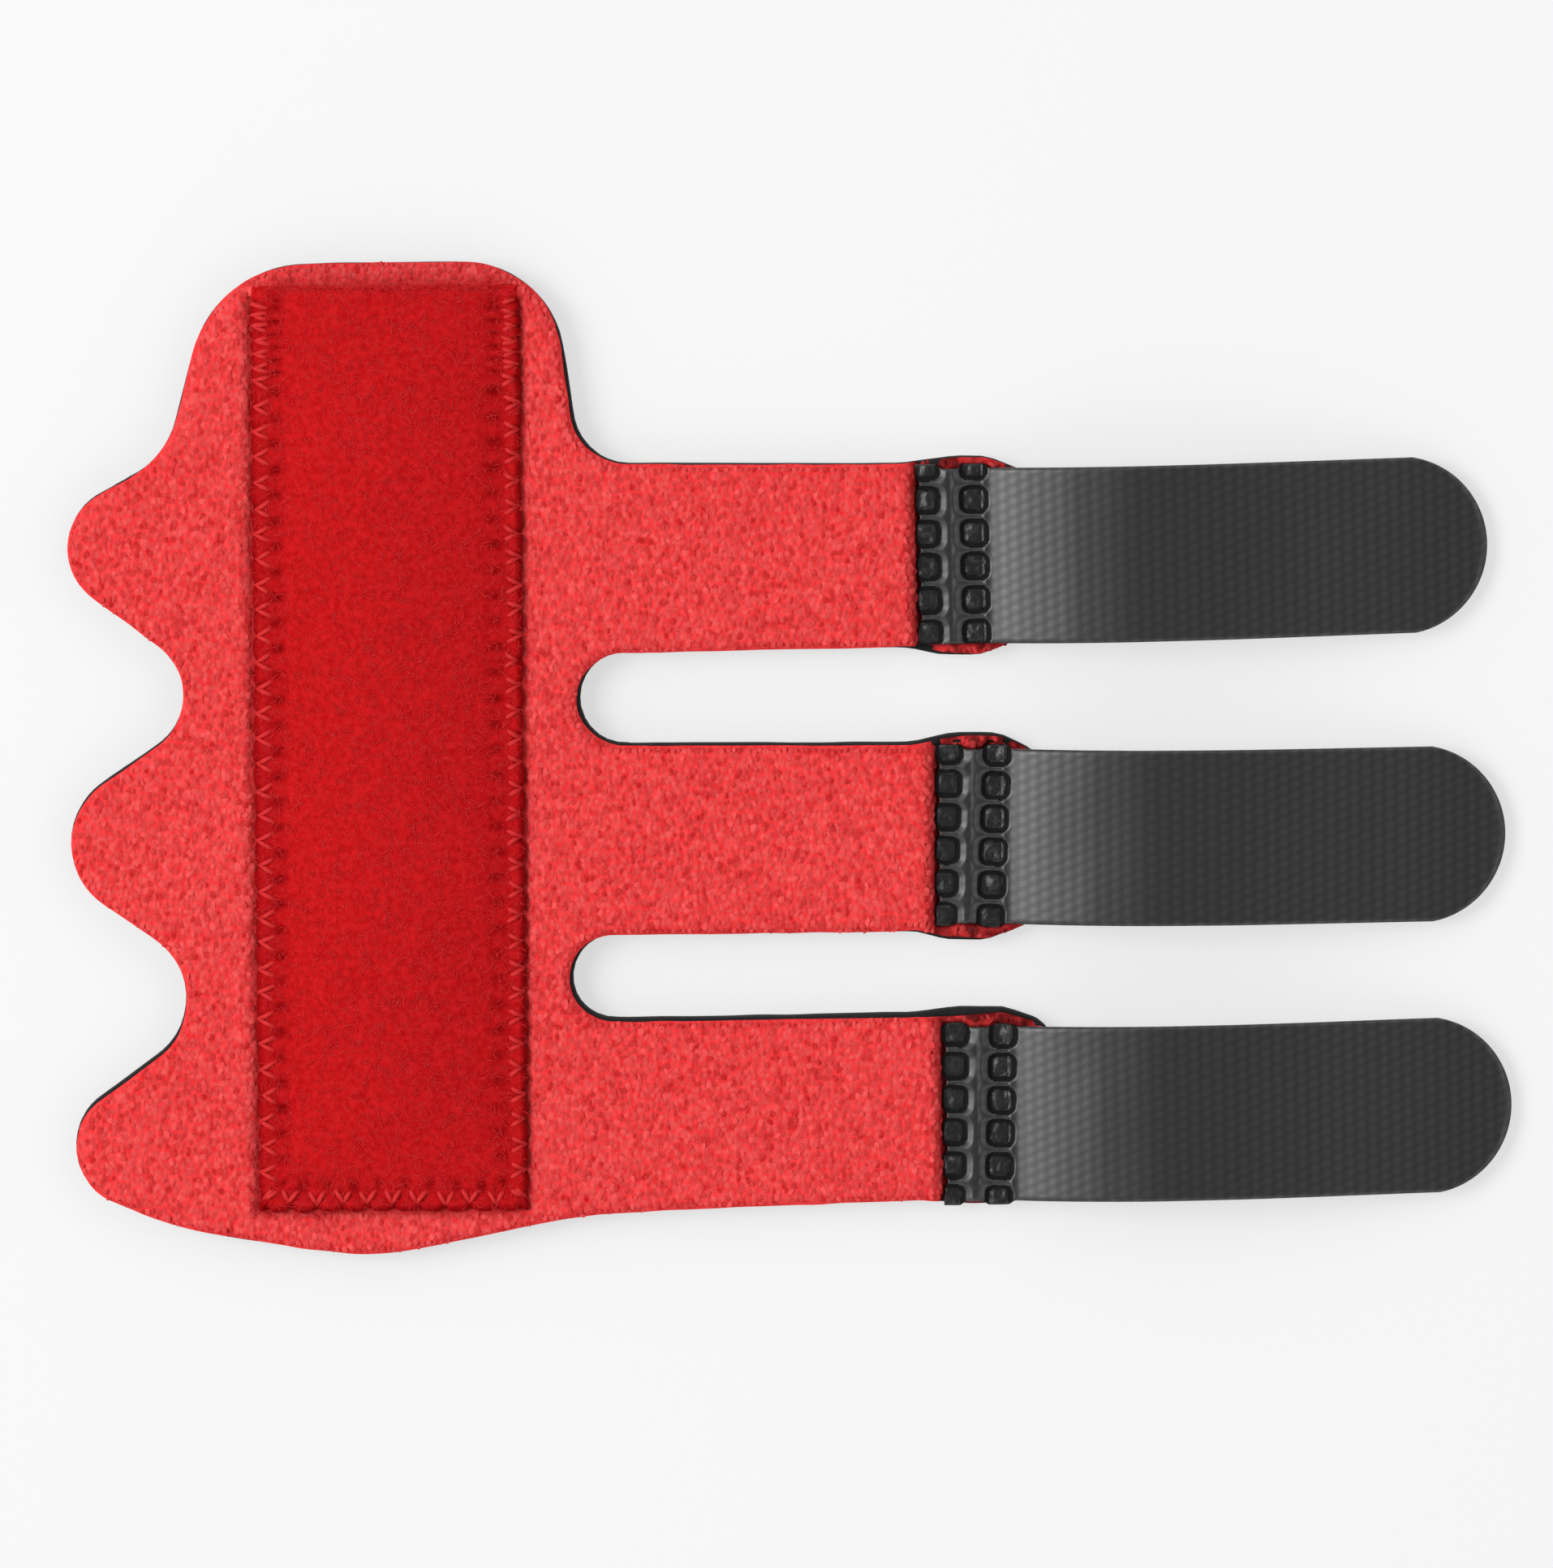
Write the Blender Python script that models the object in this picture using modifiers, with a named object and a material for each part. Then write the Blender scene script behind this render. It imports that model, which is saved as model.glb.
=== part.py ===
"""Finger splint laid open flat, with the side that faces away from the finger upwards.

A laminate of black foam and red loop cloth is cut to one outline: a back panel with three
lobes on one side and three arms on the other. A red plush tape is sewn along the panel as a
pocket, open at the fingertip end, and a black moulded hook tab is welded to each arm.

Sizes are in millimetres. +X runs along the arms towards the tabs, +Y towards the fingertip
end and +Z up. The origin is on the table, in the middle of the splint's length and width.
"""

import math

import bmesh
import bpy
from mathutils import Matrix, Vector

MM = 0.001

# Laminate
FOAM_THICKNESS = 1.9
FOAM_PRESSED = 0.5
FACE_THICKNESS = 1.0
FACE_PRESSED = 0.4
SEAT_GAP = 0.3
FACE_TOP = FOAM_THICKNESS + SEAT_GAP + FACE_THICKNESS

# Outline of the back panel: corners where its straight edges would meet, and their radii
FINGERTIP_CORNERS = (
    # x, y, radius
    (-54.0, 46.3, 11.2),
    (-22.3, 46.7, 9.5),
)
ARMPIT_X = -19.7
ARMPIT_RADIUS = 5.3
PALM_CORNERS = (
    # x, y, radius
    (-18.6, -42.8, 25.0),
    (-39.3, -47.15, 24.0),
    (-57.0, -44.45, 20.0),
)
LOBE_CORNERS = (
    # x, y, radius: lobe tips and the notches between them, from the palm end upwards
    (-73.3, -37.9, 5.8),
    (-51.7, -22.4, 6.7),
    (-72.8, -8.0, 6.9),
    (-52.7, 5.9, 5.7),
    (-72.9, 20.5, 5.9),
    (-58.3, 28.3, 8.6),
)

# Arms, from the fingertip end to the palm end. y values are the edges of the cloth, at the
# arm's root and where the weld starts. weld_x is where the weld and the tab start, and end is
# how far past weld_x the cloth goes on under the tab.
ARM_ROOT_X = -16.0
ARM_COLUMNS = (
    "name", "root_top", "root_bottom", "weld_top", "weld_bottom", "weld_x", "end",
)
ARM_ROWS = (
    ("upper", 27.7, 9.9, 27.7, 10.5, 12.1, 10.6),
    ("middle", 1.4, -16.6, 1.5, -16.2, 13.9, 9.7),
    ("lower", -24.5, -42.75, -23.9, -41.5, 14.6, 9.9),
)
SLOT_END_X = (-19.7, -20.4)
SLOT_ROUNDING = 0.98

# Cloth squeezed out beside each weld: distances past weld_x where the edge leaves its line
# and where it stands out most, and how far
SWELLING_COLUMNS = ("start", "widest_from", "widest_to", "height")
SWELLING_ROWS = (
    # top edge, bottom edge
    ((-1.7, 3.3, 6.2, 0.65), (-1.7, 1.8, 5.6, 0.8)),
    ((-2.6, 1.2, 5.6, 0.9), (-2.2, 0.6, 4.4, 0.9)),
    ((-3.5, 1.5, 5.4, 0.5), (-2.3, 1.0, 5.5, 0.5)),
)
SWELLING_RADIUS = 3.0
ARM_END_INSET = 1.1
ARM_END_RADIUS = 2.6

# How much of its thickness the laminate keeps, by distance past weld_x
PRESS = ((-1.4, 1.0), (-0.45, 0.0), (7.2, 0.0), (9.0, 0.55))

# Hook tabs, in the arms' order. turn and weld_turn are in degrees, and weld_shift moves the
# weld's squares along Y.
TAB_COLUMNS = ("centre_y", "turn", "weld_turn", "weld_shift")
TAB_ROWS = (
    (18.95, 1.35, 0.0, 0.6),
    (-7.3, 0.25, -2.4, 0.2),
    (-33.5, 1.05, -2.4, -0.2),
)
TAB_WIDTH = 16.4
TAB_LENGTH = 53.1
TAB_TIP_BULGE = 6.8
TAB_ROOT_RADIUS = 0.5
WELD_TOP = 2.4
WELD_THICKNESS = 0.9
TAPE_THICKNESS = 1.3
# Height of the tab's upper side and its thickness, by distance along the tab: it climbs out
# of the weld over the arm's end and comes down to the table at its tip
TAB_BEND = (
    (0.0, WELD_TOP, WELD_THICKNESS),
    (6.8, WELD_TOP, WELD_THICKNESS),
    (8.0, 3.2, 1.1),
    (9.4, 4.0, TAPE_THICKNESS),
    (11.5, 4.5, TAPE_THICKNESS),
    (15.0, 4.95, TAPE_THICKNESS),
    (20.0, 5.1, TAPE_THICKNESS),
    (26.0, 4.85, TAPE_THICKNESS),
    (33.0, 4.15, TAPE_THICKNESS),
    (40.0, 3.2, TAPE_THICKNESS),
    (47.0, 2.25, TAPE_THICKNESS),
    (TAB_LENGTH, 1.6, TAPE_THICKNESS),
)

# Weld: two columns of sunk squares
SQUARE_SIDE = 2.5
SQUARE_RADIUS = 0.7
SQUARE_DEPTH = 0.5
SQUARE_COLUMNS = (0.85, 5.15)
SQUARE_ROWS = 6
SQUARE_PITCH = 3.12
CUTTER_HEIGHT = 2.0

# Pocket of plush tape
POCKET_CENTRE = (-37.6, 1.05)
POCKET_WIDTH = 25.0
POCKET_LENGTH = 86.9
POCKET_TURN = 0.45
POCKET_THICKNESS = 1.1
POCKET_CROWN = 1.4
POCKET_SEAM = 2.9
POCKET_FADE = 9.0
MOUTH_CROWN = 0.7
MOUTH_FADE = 14.0
POCKET_CELLS = (16, 24)

ARC_STEP = math.radians(11)
WELD_DISTANCE = 1e-6

MATERIALS = {
    # name: linear colour, roughness
    "black_foam": ((0.012, 0.012, 0.013), 0.95),
    "red_loop_cloth": ((0.80, 0.045, 0.047), 0.95),
    "red_plush": ((0.565, 0.009, 0.011), 0.9),
    "black_hook_plastic": ((0.032, 0.032, 0.032), 0.45),
}


def clear_scene():
    for obj in list(bpy.data.objects):
        bpy.data.objects.remove(obj)


def new_collection(name, hidden=False):
    collection = bpy.data.collections.new(name)
    collection.hide_render = hidden
    bpy.context.scene.collection.children.link(collection)
    return collection


def make_material(name):
    colour, roughness = MATERIALS[name]
    material = bpy.data.materials.new(name)
    material.use_nodes = True
    shader = material.node_tree.nodes["Principled BSDF"]
    shader.inputs["Base Color"].default_value = (*colour, 1.0)
    shader.inputs["Roughness"].default_value = roughness
    shader.inputs["Metallic"].default_value = 0.0
    return material


def rows(columns, table):
    """The table's rows as dictionaries."""
    return [dict(zip(columns, row)) for row in table]


def rounded_outline(corners):
    """Points of a closed outline. corners are (x, y, radius), and an arc rounds each."""
    points = []
    for i, (x, y, radius) in enumerate(corners):
        corner = Vector((x, y))
        following = corners[(i + 1) % len(corners)]
        back = (Vector(corners[i - 1][:2]) - corner).normalized()
        ahead = (Vector(following[:2]) - corner).normalized()
        turn = math.pi - back.angle(ahead)
        centre = corner + (back + ahead).normalized() * radius / math.cos(turn / 2)
        start = corner + back * radius * math.tan(turn / 2) - centre
        side = math.copysign(1.0, back.x * ahead.y - back.y * ahead.x)
        steps = max(1, round(turn / ARC_STEP))
        for step in range(steps + 1):
            angle = -side * turn * step / steps
            points.append(centre + Matrix.Rotation(angle, 2) @ start)
    return points


def interpolate(table, at, column=1):
    """The value at a distance, on straight lines between the table's rows."""
    if at <= table[0][0]:
        return table[0][column]
    for before, after in zip(table, table[1:]):
        if at <= after[0]:
            share = (at - before[0]) / (after[0] - before[0])
            return before[column] + share * (after[column] - before[column])
    return table[-1][column]


def arm_edge(arm, root, weld, swelling, outwards):
    """Corners along one edge of an arm, from its root to its end."""
    edge = dict(zip(SWELLING_COLUMNS, swelling))
    slope = (arm[weld] - arm[root]) / (arm["weld_x"] - ARM_ROOT_X)
    corners = [(arm["weld_x"] + edge["start"], arm[weld] + slope * edge["start"], SWELLING_RADIUS)]
    for distance in (edge["widest_from"], edge["widest_to"]):
        y = arm[weld] + outwards * edge["height"]
        corners.append((arm["weld_x"] + distance, y, SWELLING_RADIUS))
    end = arm[weld] - outwards * ARM_END_INSET
    corners.append((arm["weld_x"] + arm["end"], end, ARM_END_RADIUS))
    return corners


def body_outline():
    """The laminate's outline, clockwise from the corner beside the first lobe."""
    arms = rows(ARM_COLUMNS, ARM_ROWS)
    corners = list(FINGERTIP_CORNERS)
    corners.append((ARMPIT_X, arms[0]["root_top"], ARMPIT_RADIUS))
    for i, arm in enumerate(arms):
        top, bottom = SWELLING_ROWS[i]
        corners += arm_edge(arm, "root_top", "weld_top", top, 1.0)
        corners += reversed(arm_edge(arm, "root_bottom", "weld_bottom", bottom, -1.0))
        if arm is arms[-1]:
            break
        slot_top = arm["root_bottom"]
        slot_bottom = arms[i + 1]["root_top"]
        radius = SLOT_ROUNDING * (slot_top - slot_bottom) / 2
        corners.append((SLOT_END_X[i], slot_top, radius))
        corners.append((SLOT_END_X[i], slot_bottom, radius))
    corners += PALM_CORNERS
    corners += LOBE_CORNERS
    return rounded_outline(corners)


def flat_sheet(name, outline, thickness):
    """A sheet of that outline and thickness as a mesh object, centred on z = 0."""
    curve = bpy.data.curves.new(name, "CURVE")
    curve.dimensions = "2D"
    curve.fill_mode = "BOTH"
    curve.extrude = thickness / 2 * MM
    spline = curve.splines.new("POLY")
    spline.points.add(len(outline) - 1)
    spline.use_cyclic_u = True
    for point, (x, y) in zip(spline.points, outline):
        point.co = (x * MM, y * MM, 0.0, 1.0)
    drawn = bpy.data.objects.new(name + "_outline", curve)
    bpy.context.scene.collection.objects.link(drawn)
    graph = bpy.context.evaluated_depsgraph_get()
    mesh = bpy.data.meshes.new_from_object(drawn.evaluated_get(graph))
    bpy.data.objects.remove(drawn)
    mesh.name = name
    shape = bmesh.new()
    shape.from_mesh(mesh)
    bmesh.ops.remove_doubles(shape, verts=shape.verts, dist=WELD_DISTANCE)
    bmesh.ops.recalc_face_normals(shape, faces=shape.faces)
    shape.to_mesh(mesh)
    shape.free()
    return bpy.data.objects.new(name, mesh)


def cut_across(shape, stations):
    """Cuts the mesh with a plane across X at each station, so that it can bend there."""
    for x in sorted(set(stations)):
        bmesh.ops.bisect_plane(
            shape,
            geom=shape.verts[:] + shape.edges[:] + shape.faces[:],
            dist=WELD_DISTANCE,
            plane_co=(x * MM, 0.0, 0.0),
            plane_no=(1.0, 0.0, 0.0),
        )


def nearest_arm(arms, y):
    return min(arms, key=lambda arm: abs(y - (arm["weld_top"] + arm["weld_bottom"]) / 2))


def laminate_layer(name, material, underside, upside):
    """One layer of the laminate. underside and upside give its z from the thickness kept."""
    arms = rows(ARM_COLUMNS, ARM_ROWS)
    layer = flat_sheet(name, body_outline(), 1.0)
    shape = bmesh.new()
    shape.from_mesh(layer.data)
    cut_across(shape, [arm["weld_x"] + row[0] for arm in arms for row in PRESS])
    for vertex in shape.verts:
        x, y = vertex.co.x / MM, vertex.co.y / MM
        kept = interpolate(PRESS, x - nearest_arm(arms, y)["weld_x"])
        vertex.co.z = (upside(kept) if vertex.co.z > 0 else underside(kept)) * MM
    shape.to_mesh(layer.data)
    shape.free()
    layer.data.materials.append(make_material(material))
    return layer


def foam_top(kept):
    return FOAM_PRESSED + kept * (FOAM_THICKNESS - FOAM_PRESSED)


def face_top(kept):
    thickness = FACE_PRESSED + kept * (FACE_THICKNESS - FACE_PRESSED)
    return foam_top(kept) + SEAT_GAP + thickness


def make_laminate(collection):
    foam = laminate_layer("foam_backing", "black_foam", lambda kept: 0.0, foam_top)
    face = laminate_layer(
        "loop_face", "red_loop_cloth", lambda kept: foam_top(kept) + SEAT_GAP, face_top
    )
    for layer in (foam, face):
        collection.objects.link(layer)


def pocket_height(across, along):
    """Height of the pocket tape's underside over the cloth, from the tape's own middle."""
    half_width = POCKET_WIDTH / 2 - POCKET_SEAM
    half_length = POCKET_LENGTH / 2
    if abs(across) >= half_width:
        return 0.0
    arch = math.cos(math.pi / 2 * across / half_width)
    to_mouth = min(1.0, (half_length - along) / MOUTH_FADE)
    to_end = min(1.0, max(0.0, half_length - POCKET_SEAM + along) / POCKET_FADE)
    crown = MOUTH_CROWN + (POCKET_CROWN - MOUTH_CROWN) * math.sin(math.pi / 2 * to_mouth)
    return arch * crown * math.sin(math.pi / 2 * to_end)


def make_pocket(collection):
    """Plush tape sewn down on three sides, crowned over the space for the stay."""
    mesh = bpy.data.meshes.new("stay_pocket")
    shape = bmesh.new()
    bmesh.ops.create_grid(
        shape, x_segments=POCKET_CELLS[0], y_segments=POCKET_CELLS[1], size=0.5
    )
    for vertex in shape.verts:
        across, along = vertex.co.x * POCKET_WIDTH, vertex.co.y * POCKET_LENGTH
        height = pocket_height(across, along)
        vertex.co = Vector((across, along, height)) * MM
    shape.to_mesh(mesh)
    shape.free()
    mesh.materials.append(make_material("red_plush"))
    pocket = bpy.data.objects.new("stay_pocket", mesh)
    collection.objects.link(pocket)
    pocket.location = Vector((*POCKET_CENTRE, FACE_TOP + SEAT_GAP)) * MM
    pocket.rotation_euler.z = math.radians(POCKET_TURN)
    wall = pocket.modifiers.new("wall", "SOLIDIFY")
    wall.thickness = POCKET_THICKNESS * MM
    wall.offset = 1.0
    mesh.shade_smooth()


def tab_outline():
    """A strip with square corners at the weld and a round tip."""
    half = TAB_WIDTH / 2
    shoulder = TAB_LENGTH - TAB_TIP_BULGE
    radius = (half**2 + TAB_TIP_BULGE**2) / (2 * TAB_TIP_BULGE)
    opening = math.asin(half / radius)
    steps = round(2 * opening / ARC_STEP)
    corner = TAB_ROOT_RADIUS
    root = [
        (corner, half),
        (0.0, half - corner),
        (0.0, corner - half),
        (corner, -half),
    ]
    tip = []
    for step in range(steps + 1):
        angle = opening * (2 * step / steps - 1)
        tip.append(
            (TAB_LENGTH - radius + radius * math.cos(angle), radius * math.sin(angle))
        )
    tip[0], tip[-1] = (shoulder, -half), (shoulder, half)
    return root + tip


def weld_cutter(tab_name, tab):
    """The squares that the welding horn presses into one tab, as one cutter."""
    half = SQUARE_SIDE / 2
    square = rounded_outline(
        [
            (-half, -half, SQUARE_RADIUS),
            (half, -half, SQUARE_RADIUS),
            (half, half, SQUARE_RADIUS),
            (-half, half, SQUARE_RADIUS),
        ]
    )
    stamp = flat_sheet("stamp", square, CUTTER_HEIGHT)
    shape = bmesh.new()
    middle = sum(SQUARE_COLUMNS) / 2
    for column in SQUARE_COLUMNS:
        for row in range(SQUARE_ROWS):
            copied = bmesh.new()
            copied.from_mesh(stamp.data)
            along = (row - (SQUARE_ROWS - 1) / 2) * SQUARE_PITCH
            bmesh.ops.translate(
                copied, verts=copied.verts, vec=Vector((column - middle, along, 0.0)) * MM
            )
            piece = bpy.data.meshes.new("stamp_copy")
            copied.to_mesh(piece)
            copied.free()
            shape.from_mesh(piece)
            bpy.data.meshes.remove(piece)
    turn = Matrix.Rotation(math.radians(tab["weld_turn"]), 4, "Z")
    place = Matrix.Translation(
        Vector((middle, tab["weld_shift"], WELD_TOP - SQUARE_DEPTH + CUTTER_HEIGHT / 2)) * MM
    )
    bmesh.ops.transform(shape, matrix=place @ turn, verts=shape.verts)
    mesh = bpy.data.meshes.new(tab_name + "_squares")
    shape.to_mesh(mesh)
    shape.free()
    bpy.data.objects.remove(stamp)
    return bpy.data.objects.new(tab_name + "_squares", mesh)


def make_tab(arm, tab, material, collection, cutters):
    """One moulded hook tab, bent along its length and stamped with the weld's squares."""
    name = "hook_tab_" + arm["name"]
    strip = flat_sheet(name, tab_outline(), 1.0)
    shape = bmesh.new()
    shape.from_mesh(strip.data)
    cut_across(shape, [row[0] for row in TAB_BEND[1:-1]])
    for vertex in shape.verts:
        top = interpolate(TAB_BEND, vertex.co.x / MM)
        thickness = interpolate(TAB_BEND, vertex.co.x / MM, column=2)
        vertex.co.z = (top if vertex.co.z > 0 else top - thickness) * MM
    shape.to_mesh(strip.data)
    shape.free()
    strip.data.materials.append(material)
    collection.objects.link(strip)
    cutter = weld_cutter(name, tab)
    cutter.hide_render = True
    cutter.display_type = "WIRE"
    cutters.objects.link(cutter)
    for obj in (strip, cutter):
        obj.location = Vector((arm["weld_x"], tab["centre_y"], 0.0)) * MM
        obj.rotation_euler.z = math.radians(tab["turn"])
    stamped = strip.modifiers.new("weld_squares", "BOOLEAN")
    stamped.operation = "DIFFERENCE"
    stamped.object = cutter


def main():
    clear_scene()
    splint = new_collection("finger_splint")
    cutters = new_collection("cutters", hidden=True)
    make_laminate(splint)
    make_pocket(splint)
    plastic = make_material("black_hook_plastic")
    arms = rows(ARM_COLUMNS, ARM_ROWS)
    for arm, tab in zip(arms, rows(TAB_COLUMNS, TAB_ROWS)):
        make_tab(arm, tab, plastic, splint, cutters)


main()
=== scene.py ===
# %% [markdown]
# # A soft finger splint, laid open flat
#
# The object is a laminate of black foam and red loop cloth, cut to one outline with three
# lobes and three arms. A dark red plush tape is sewn onto it as a pocket for a stiff stay,
# and a black moulded hook tab is welded onto each arm. It lies on a pale table, red side up.
#
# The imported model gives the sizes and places. This script dresses it: each soft or moulded
# piece is modelled again with the detail that the eye reads as cloth, foam, thread and
# plastic, and then stands for its plain solid. All lengths below are in millimetres until a
# piece is finished, because they are easier to read, and `MM` turns them into metres.

import math
from collections import namedtuple

import bmesh
import bpy
import numpy as np
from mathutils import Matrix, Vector


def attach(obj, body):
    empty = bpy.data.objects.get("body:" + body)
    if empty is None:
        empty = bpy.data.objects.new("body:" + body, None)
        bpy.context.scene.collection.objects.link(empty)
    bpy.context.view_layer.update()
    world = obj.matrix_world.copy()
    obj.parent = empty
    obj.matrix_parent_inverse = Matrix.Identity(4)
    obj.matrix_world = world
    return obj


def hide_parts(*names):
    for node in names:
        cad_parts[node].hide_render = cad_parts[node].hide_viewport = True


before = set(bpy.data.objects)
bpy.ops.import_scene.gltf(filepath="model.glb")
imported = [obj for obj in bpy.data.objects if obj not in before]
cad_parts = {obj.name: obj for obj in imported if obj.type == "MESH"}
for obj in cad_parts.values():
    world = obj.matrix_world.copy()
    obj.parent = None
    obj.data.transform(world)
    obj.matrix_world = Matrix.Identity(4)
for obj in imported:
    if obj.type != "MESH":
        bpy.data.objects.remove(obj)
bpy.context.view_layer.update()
MM = 0.001
print("nodes:", sorted(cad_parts))

# %% [markdown]
# ## The camera
#
# The photo looks down on the table from a little above the fingertip end. That shows in
# the black foam: its cut edge can be seen where an edge faces the fingertip end and is
# hidden where it faces the palm end. A camera that leans 5 degrees gives the same. It stands
# well back, with a long lens, so the lean doesn't narrow the palm end of the outline.

# %% Camera
PHOTO_PIXELS_PER_MM = 13.15
PHOTO_LONG_SIDE = 1932
SENSOR = 36.0
AIM = Vector((-1.33, -2.4, 1.6))
CAMERA_DISTANCE = 1400.0
CAMERA_LEAN = math.radians(5.0)

camera_data = bpy.data.cameras.new("camera")
camera_data.sensor_width = SENSOR
camera_data.lens = SENSOR * CAMERA_DISTANCE / (PHOTO_LONG_SIDE / PHOTO_PIXELS_PER_MM)
camera_data.clip_start, camera_data.clip_end = 0.01, 10.0
camera = bpy.data.objects.new("camera", camera_data)
bpy.context.scene.collection.objects.link(camera)
back = Vector((0.0, math.sin(CAMERA_LEAN), math.cos(CAMERA_LEAN)))
camera.location = (AIM + back * CAMERA_DISTANCE) * MM
camera.rotation_euler = (-CAMERA_LEAN, 0.0, 0.0)
bpy.context.scene.camera = camera
print("lens:", round(camera_data.lens, 1), "mm")

# %% [markdown]
# ## A tool for nodes
#
# Setting shader nodes one by one takes many lines. `node` makes one in a single call, where
# each input gets either a value or a link from another node's socket, and `feed` does the
# same for the inputs of a node that is there already.

# %% Nodes


def feed(made, **inputs):
    """Set or link the inputs of a node, called by name, such as `From_Min`, or by number."""
    for key, value in inputs.items():
        label = key.replace("_", " ")
        socket = made.inputs[int(label) if label.isdigit() else label]
        if isinstance(value, bpy.types.NodeSocket):
            made.id_data.links.new(value, socket)
        else:
            socket.default_value = value


def node(tree, kind, **settings):
    """A new node with its settings, where a key such as `in_Scale` is an input."""
    made = tree.nodes.new(kind)
    inputs = {key[3:]: settings.pop(key) for key in list(settings) if key.startswith("in_")}
    for key, value in settings.items():
        setattr(made, key, value)
    feed(made, **inputs)
    return made


def worked_out(tree, operation, *values):
    """The result of a Math node, as a socket."""
    inputs = {f"in_{number}": value for number, value in enumerate(values)}
    return node(tree, "ShaderNodeMath", operation=operation, **inputs).outputs[0]


def spread(tree, value, low, high, to_low=0.0, to_high=1.0, **settings):
    """A socket's values from low to high, spread from to_low to to_high."""
    return node(
        tree, "ShaderNodeMapRange", in_Value=value, in_From_Min=low, in_From_Max=high,
        in_To_Min=to_low, in_To_Max=to_high, **settings,
    ).outputs[0]


def mixed(tree, share, first, second):
    """Two numbers, mixed by a share that is 0 for the first and 1 for the second."""
    return node(tree, "ShaderNodeMix", in_Factor=share, in_A=first, in_B=second).outputs[0]


# %% [markdown]
# ## Table and light
#
# A plain, nearly white table under a large soft light from the upper left, with a bright
# room around it. Straight above, where the camera hangs, the room is darker, as it is between
# two soft boxes. Flat plastic mirrors that dark part and looks black, while its slopes mirror
# the bright sides: this gives the arched tabs a bright and a dark end. The room is darker
# near the horizon too, or the tabs would look white from a low angle. The camera itself sees
# an even backdrop in place of the room. The table glows a little, like the light tables that
# product photos are taken on, so the shadows stay faint. The Standard view keeps the reds as
# they are mixed.

# %% Table and light
TABLE_SHADE, TABLE_GLOW = 0.3, 0.588
BACKDROP = 0.956
# Heights of the looking direction, from 0 level to 1 straight up, and the brightness there.
OVERHEAD = {"low": 0.6, "high": 0.93, "to_low": 1.24, "to_high": 0.11}
HORIZON = {"low": 0.0, "high": 0.45, "to_low": 0.25, "to_high": 1.02}
KEY_PLACE, KEY_SIZE, KEY_WATTS = (-0.85, 0.2, 0.9), 0.6, 10.0
WHITE = (1.0, 1.0, 1.0, 1.0)

bpy.context.scene.view_settings.view_transform = "Standard"

bpy.ops.object.select_all(action="DESELECT")
bpy.ops.mesh.primitive_plane_add(size=6.0, location=(0.0, 0.0, -0.0002))
table = bpy.context.object
table.name = "table"
paint = bpy.data.materials.new("table_white")
paint.use_nodes = True
feed(
    paint.node_tree.nodes["Principled BSDF"], Roughness=0.9, Specular_IOR_Level=0.0,
    Base_Color=(TABLE_SHADE, TABLE_SHADE, TABLE_SHADE, 1.0),
    Emission_Color=WHITE, Emission_Strength=TABLE_GLOW,
)
table.data.materials.append(paint)

world = bpy.data.worlds.new("room")
world.use_nodes = True
room = world.node_tree
facing = node(room, "ShaderNodeTexCoord").outputs["Generated"]
upward = node(room, "ShaderNodeSeparateXYZ", in_0=facing).outputs["Z"]
around = worked_out(
    room, "MULTIPLY",
    spread(room, upward, **OVERHEAD, interpolation_type="SMOOTHSTEP"),
    spread(room, upward, **HORIZON),
)
camera_ray = node(room, "ShaderNodeLightPath").outputs["Is Camera Ray"]
feed(
    room.nodes["Background"], Color=WHITE, Strength=mixed(room, camera_ray, around, BACKDROP)
)
bpy.context.scene.world = world

lamp = bpy.data.lights.new("key_light", "AREA")
lamp.size, lamp.energy = KEY_SIZE, KEY_WATTS
key = bpy.data.objects.new("key_light", lamp)
key.location = KEY_PLACE
key.rotation_euler = (-Vector(KEY_PLACE)).to_track_quat("-Z", "Y").to_euler()
bpy.context.scene.collection.objects.link(key)
print("lights:", key.name, "and the room")

# %% [markdown]
# ## Small tools for shapes
#
# Cloth is never quite even, so most heights below are a plain rule plus a little noise.
# `noise` is value noise: random heights on a square lattice, blended smoothly in between.
# Its seed is fixed, so the splint comes out the same each time. `smooth_step` blends from
# 0 to 1, `bell` is a soft bump, and `smooth_table` runs a smooth curve through a table.

# %% Noise and blends
LATTICE = 256


def unit(x):
    """x, kept between 0 and 1."""
    return np.clip(x, 0.0, 1.0)


def smooth_step(x, low, high):
    """0 up to low, 1 from high on."""
    share = unit((np.asarray(x, float) - low) / (high - low))
    return share * share * (3.0 - 2.0 * share)


def window(x, rise, fall):
    """0, then 1 from the rise to the fall, each given as (start, end), and 0 again."""
    return smooth_step(x, *rise) * (1.0 - smooth_step(x, *fall))


def bell(x, middle, width):
    """1 at the middle and a third of that one width away, on both sides."""
    return np.exp(-(((x - middle) / width) ** 2))


def rounding(depth, radius):
    """How far a round edge has fallen: 1 at the edge, 0 from the radius on."""
    fall = unit(1.0 - depth / radius)
    return 1.0 - np.sqrt(1.0 - fall**2)


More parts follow.
